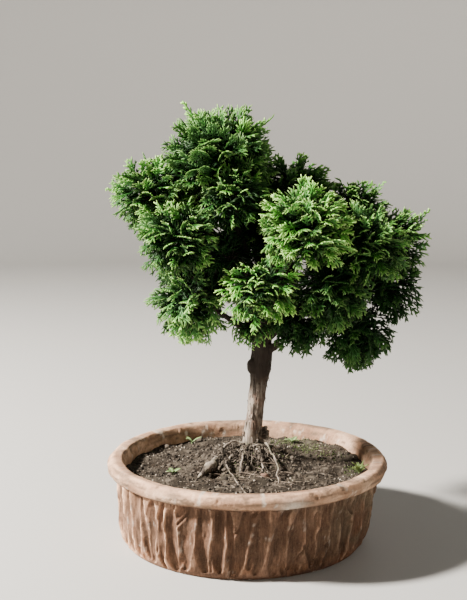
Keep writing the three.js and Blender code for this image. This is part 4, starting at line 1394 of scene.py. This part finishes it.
def blade(start, heading, rise, length, width, droop, rounded, twist=0.0):
    """One leaf with a folded middle: points, faces and tones."""
    out = np.array([cos(heading), sin(heading), 0.0])
    side = np.cross(UP, out)
    upper, tones = [], []
    for row in range(BLADE_ROWS + 1):
        part = row / BLADE_ROWS
        shape = sin(pi * min(1.0, part * 0.93 + 0.05)) ** 0.7 if rounded else (1 - part) ** 0.6
        half = width / 2 * max(shape, 0.06)
        middle = start + out * length * part + UP * length * (rise * part - droop * part * part)
        lean = side * cos(twist * part) + UP * sin(twist * part)
        for place in np.linspace(-1, 1, BLADE_COLUMNS + 1):
            upper.append(middle + lean * half * place + UP * half * 0.28 * abs(place))
            tones.append((part, 1 - min(1, 2.2 * abs(place))))
    upper = np.array(upper)
    count, total = BLADE_COLUMNS + 1, len(upper)
    faces = ring_faces(BLADE_ROWS + 1, count).reshape(BLADE_ROWS, count, 4)[:, :-1].reshape(-1, 4)
    rim = []
    for left in range(0, total - count, count):
        right = left + BLADE_COLUMNS
        rim.append((left, left + count, left + count + total, left + total))
        rim.append((right + count, right, right + total, right + count + total))
    for column in range(BLADE_COLUMNS):
        end = total - count + column
        rim.append((end, end + 1, end + 1 + total, end + total))
        rim.append((column + 1, column, column + total, column + 1 + total))
    both = np.concatenate([faces, faces[:, ::-1] + total, rim])
    return np.concatenate([upper, upper - UP * BLADE_THICKNESS]), both, np.array(tones * 2)


def make_seedlings():
    material = tender("seedling_leaf", (0.055, 0.1, 0.03), (0.15, 0.22, 0.07))
    for number, (name, ((x, y), leaves, length, width, rise)) in enumerate(SEEDLINGS.items()):
        seed = number * 13 + 3
        foot = float(soil_height(x, y))
        stem = Curve([(x, y, foot - 2), (x, y, foot + 1), (x, y, foot + 2)], [0.75, 0.7, 0.6])
        parts = [toned(tube(stem, 10, 6), 0.2, 0.3)]
        for k in range(leaves):
            size = length * (0.75 + 0.5 * share(seed + k)) * 0.94
            heading = pi / 2 + k * 2 * pi / leaves + share(seed + k + 5)
            leaf_rise = rise * (0.8 + 0.4 * share(seed + k + 9)) + 0.25
            parts.append(blade((x, y, foot + 1.5), heading, leaf_rise, size, width, 0.35, True))
        dress(mesh_object(name + "_leaves", *merged(parts)), material, "seedlings", name)


def make_grass():
    material = tender("grass_blade", (0.07, 0.125, 0.03), (0.22, 0.31, 0.08))
    (x, y), blades, length, width = GRASS
    foot = float(soil_height(x, y))
    parts = [toned(tube(Curve([(x, y, foot - 2), (x, y, foot + 1.4)], [0.8, 0.8]), 10, 4), 0.1, 0.3)]
    for k in range(2 * blades):
        heading = k * pi / blades + share(42 + k)
        start = (x + 3 * (share(90 + k) - 0.5), y + 4 * (share(95 + k) - 0.5), foot + 0.8)
        size = length * (0.28 + 0.26 * share(60 + k))
        twist = 0.8 * (share(80 + k) - 0.5)
        parts.append(blade(start, heading, 1.25 + 0.5 * share(70 + k), size, width, 0.65, False, twist))
    dress(mesh_object("grass_blades", *merged(parts)), material, "seedlings", "grass_tuft")


# ---- Camera, floor and light, in metres ----

FLOOR_RADIUS = 2.0
FLOOR_BEND = 0.7
BACKDROP_HEIGHT = 2.6
FLOOR_COLUMNS = 96
FLOOR_COLOUR = (0.47, 0.46, 0.44, 1)
SKY_COLOUR = (0.8, 0.84, 0.9, 1)
SKY_STRENGTH = 0.085
# Name, place, target, watts, size and colour.
LAMPS = [
    ("key", (-1.46, -0.27, 1.2), (0, 0, 0.13), 205, 0.2, (1.0, 0.95, 0.88)),
    ("fill", (1.0, -1.3, 0.8), (0, 0, 0.12), 0.6, 1.2, (0.92, 0.96, 1.0)),
    ("rim", (0.5, 1.3, 1.2), (0, 0, 0.2), 2, 0.8, (1.0, 1.0, 1.0)),
]
# The photograph's viewing angle: in front of the bowl and over it, turned a bit to the left and down.
CAMERA_PLACE = (0, -0.711, 0.264)
CAMERA_YAW = 0.014
CAMERA_PITCH = radians(7.64)
SENSOR_WIDTH = 36
LENS = 36 * 1032 / 600


def make_studio():
    """A plain pale floor that curves up into a plain backdrop all round, one key lamp and two soft ones."""
    bends = [k * pi / 24 for k in range(1, 13)]
    rows = [(0.001, 0.0), (FLOOR_RADIUS, 0.0)]
    rows += [(FLOOR_RADIUS + FLOOR_BEND * sin(bend), FLOOR_BEND - FLOOR_BEND * cos(bend)) for bend in bends]
    rows += [(FLOOR_RADIUS + FLOOR_BEND, BACKDROP_HEIGHT)]
    turn = np.arange(FLOOR_COLUMNS) * 2 * pi / FLOOR_COLUMNS
    points = np.concatenate([table(radius * np.cos(turn), radius * np.sin(turn), z) for radius, z in rows])
    stage = mesh_object("floor", points / MM, ring_faces(len(rows), FLOOR_COLUMNS))
    look = Look("pale_floor", 0.75, 0.2)
    look.shader.inputs["Base Color"].default_value = FLOOR_COLOUR
    stage.data.materials.append(look.material)

    world = bpy.data.worlds.new("studio")
    world.use_nodes = True
    backdrop = world.node_tree.nodes["Background"]
    backdrop.inputs[0].default_value = SKY_COLOUR
    backdrop.inputs[1].default_value = SKY_STRENGTH
    bpy.context.scene.world = world

    for name, place, target, watts, size, colour in LAMPS:
        data = bpy.data.lights.new(name, "AREA")
        data.energy = watts
        data.size = size
        data.color = colour
        stand(name, data, place, Vector(target) - Vector(place))


def stand(name, data, place, forward):
    """A lamp or a camera at a place, turned to look forward."""
    thing = bpy.data.objects.new(name, data)
    thing.location = place
    thing.rotation_euler = forward.to_track_quat("-Z", "Y").to_euler()
    bpy.context.scene.collection.objects.link(thing)
    return thing


def make_camera():
    data = bpy.data.cameras.new("camera")
    data.sensor_width = SENSOR_WIDTH
    data.lens = LENS
    data.clip_start = 0.01
    level = cos(CAMERA_PITCH)
    forward = Vector((-sin(CAMERA_YAW) * level, cos(CAMERA_YAW) * level, -sin(CAMERA_PITCH)))
    bpy.context.scene.camera = stand("camera", data, CAMERA_PLACE, forward)


make_camera()
make_studio()
make_bowl()
make_soil()
make_ground_cover()
make_wood()
make_inner_twigs()
make_foliage()
make_seedlings()
make_grass()
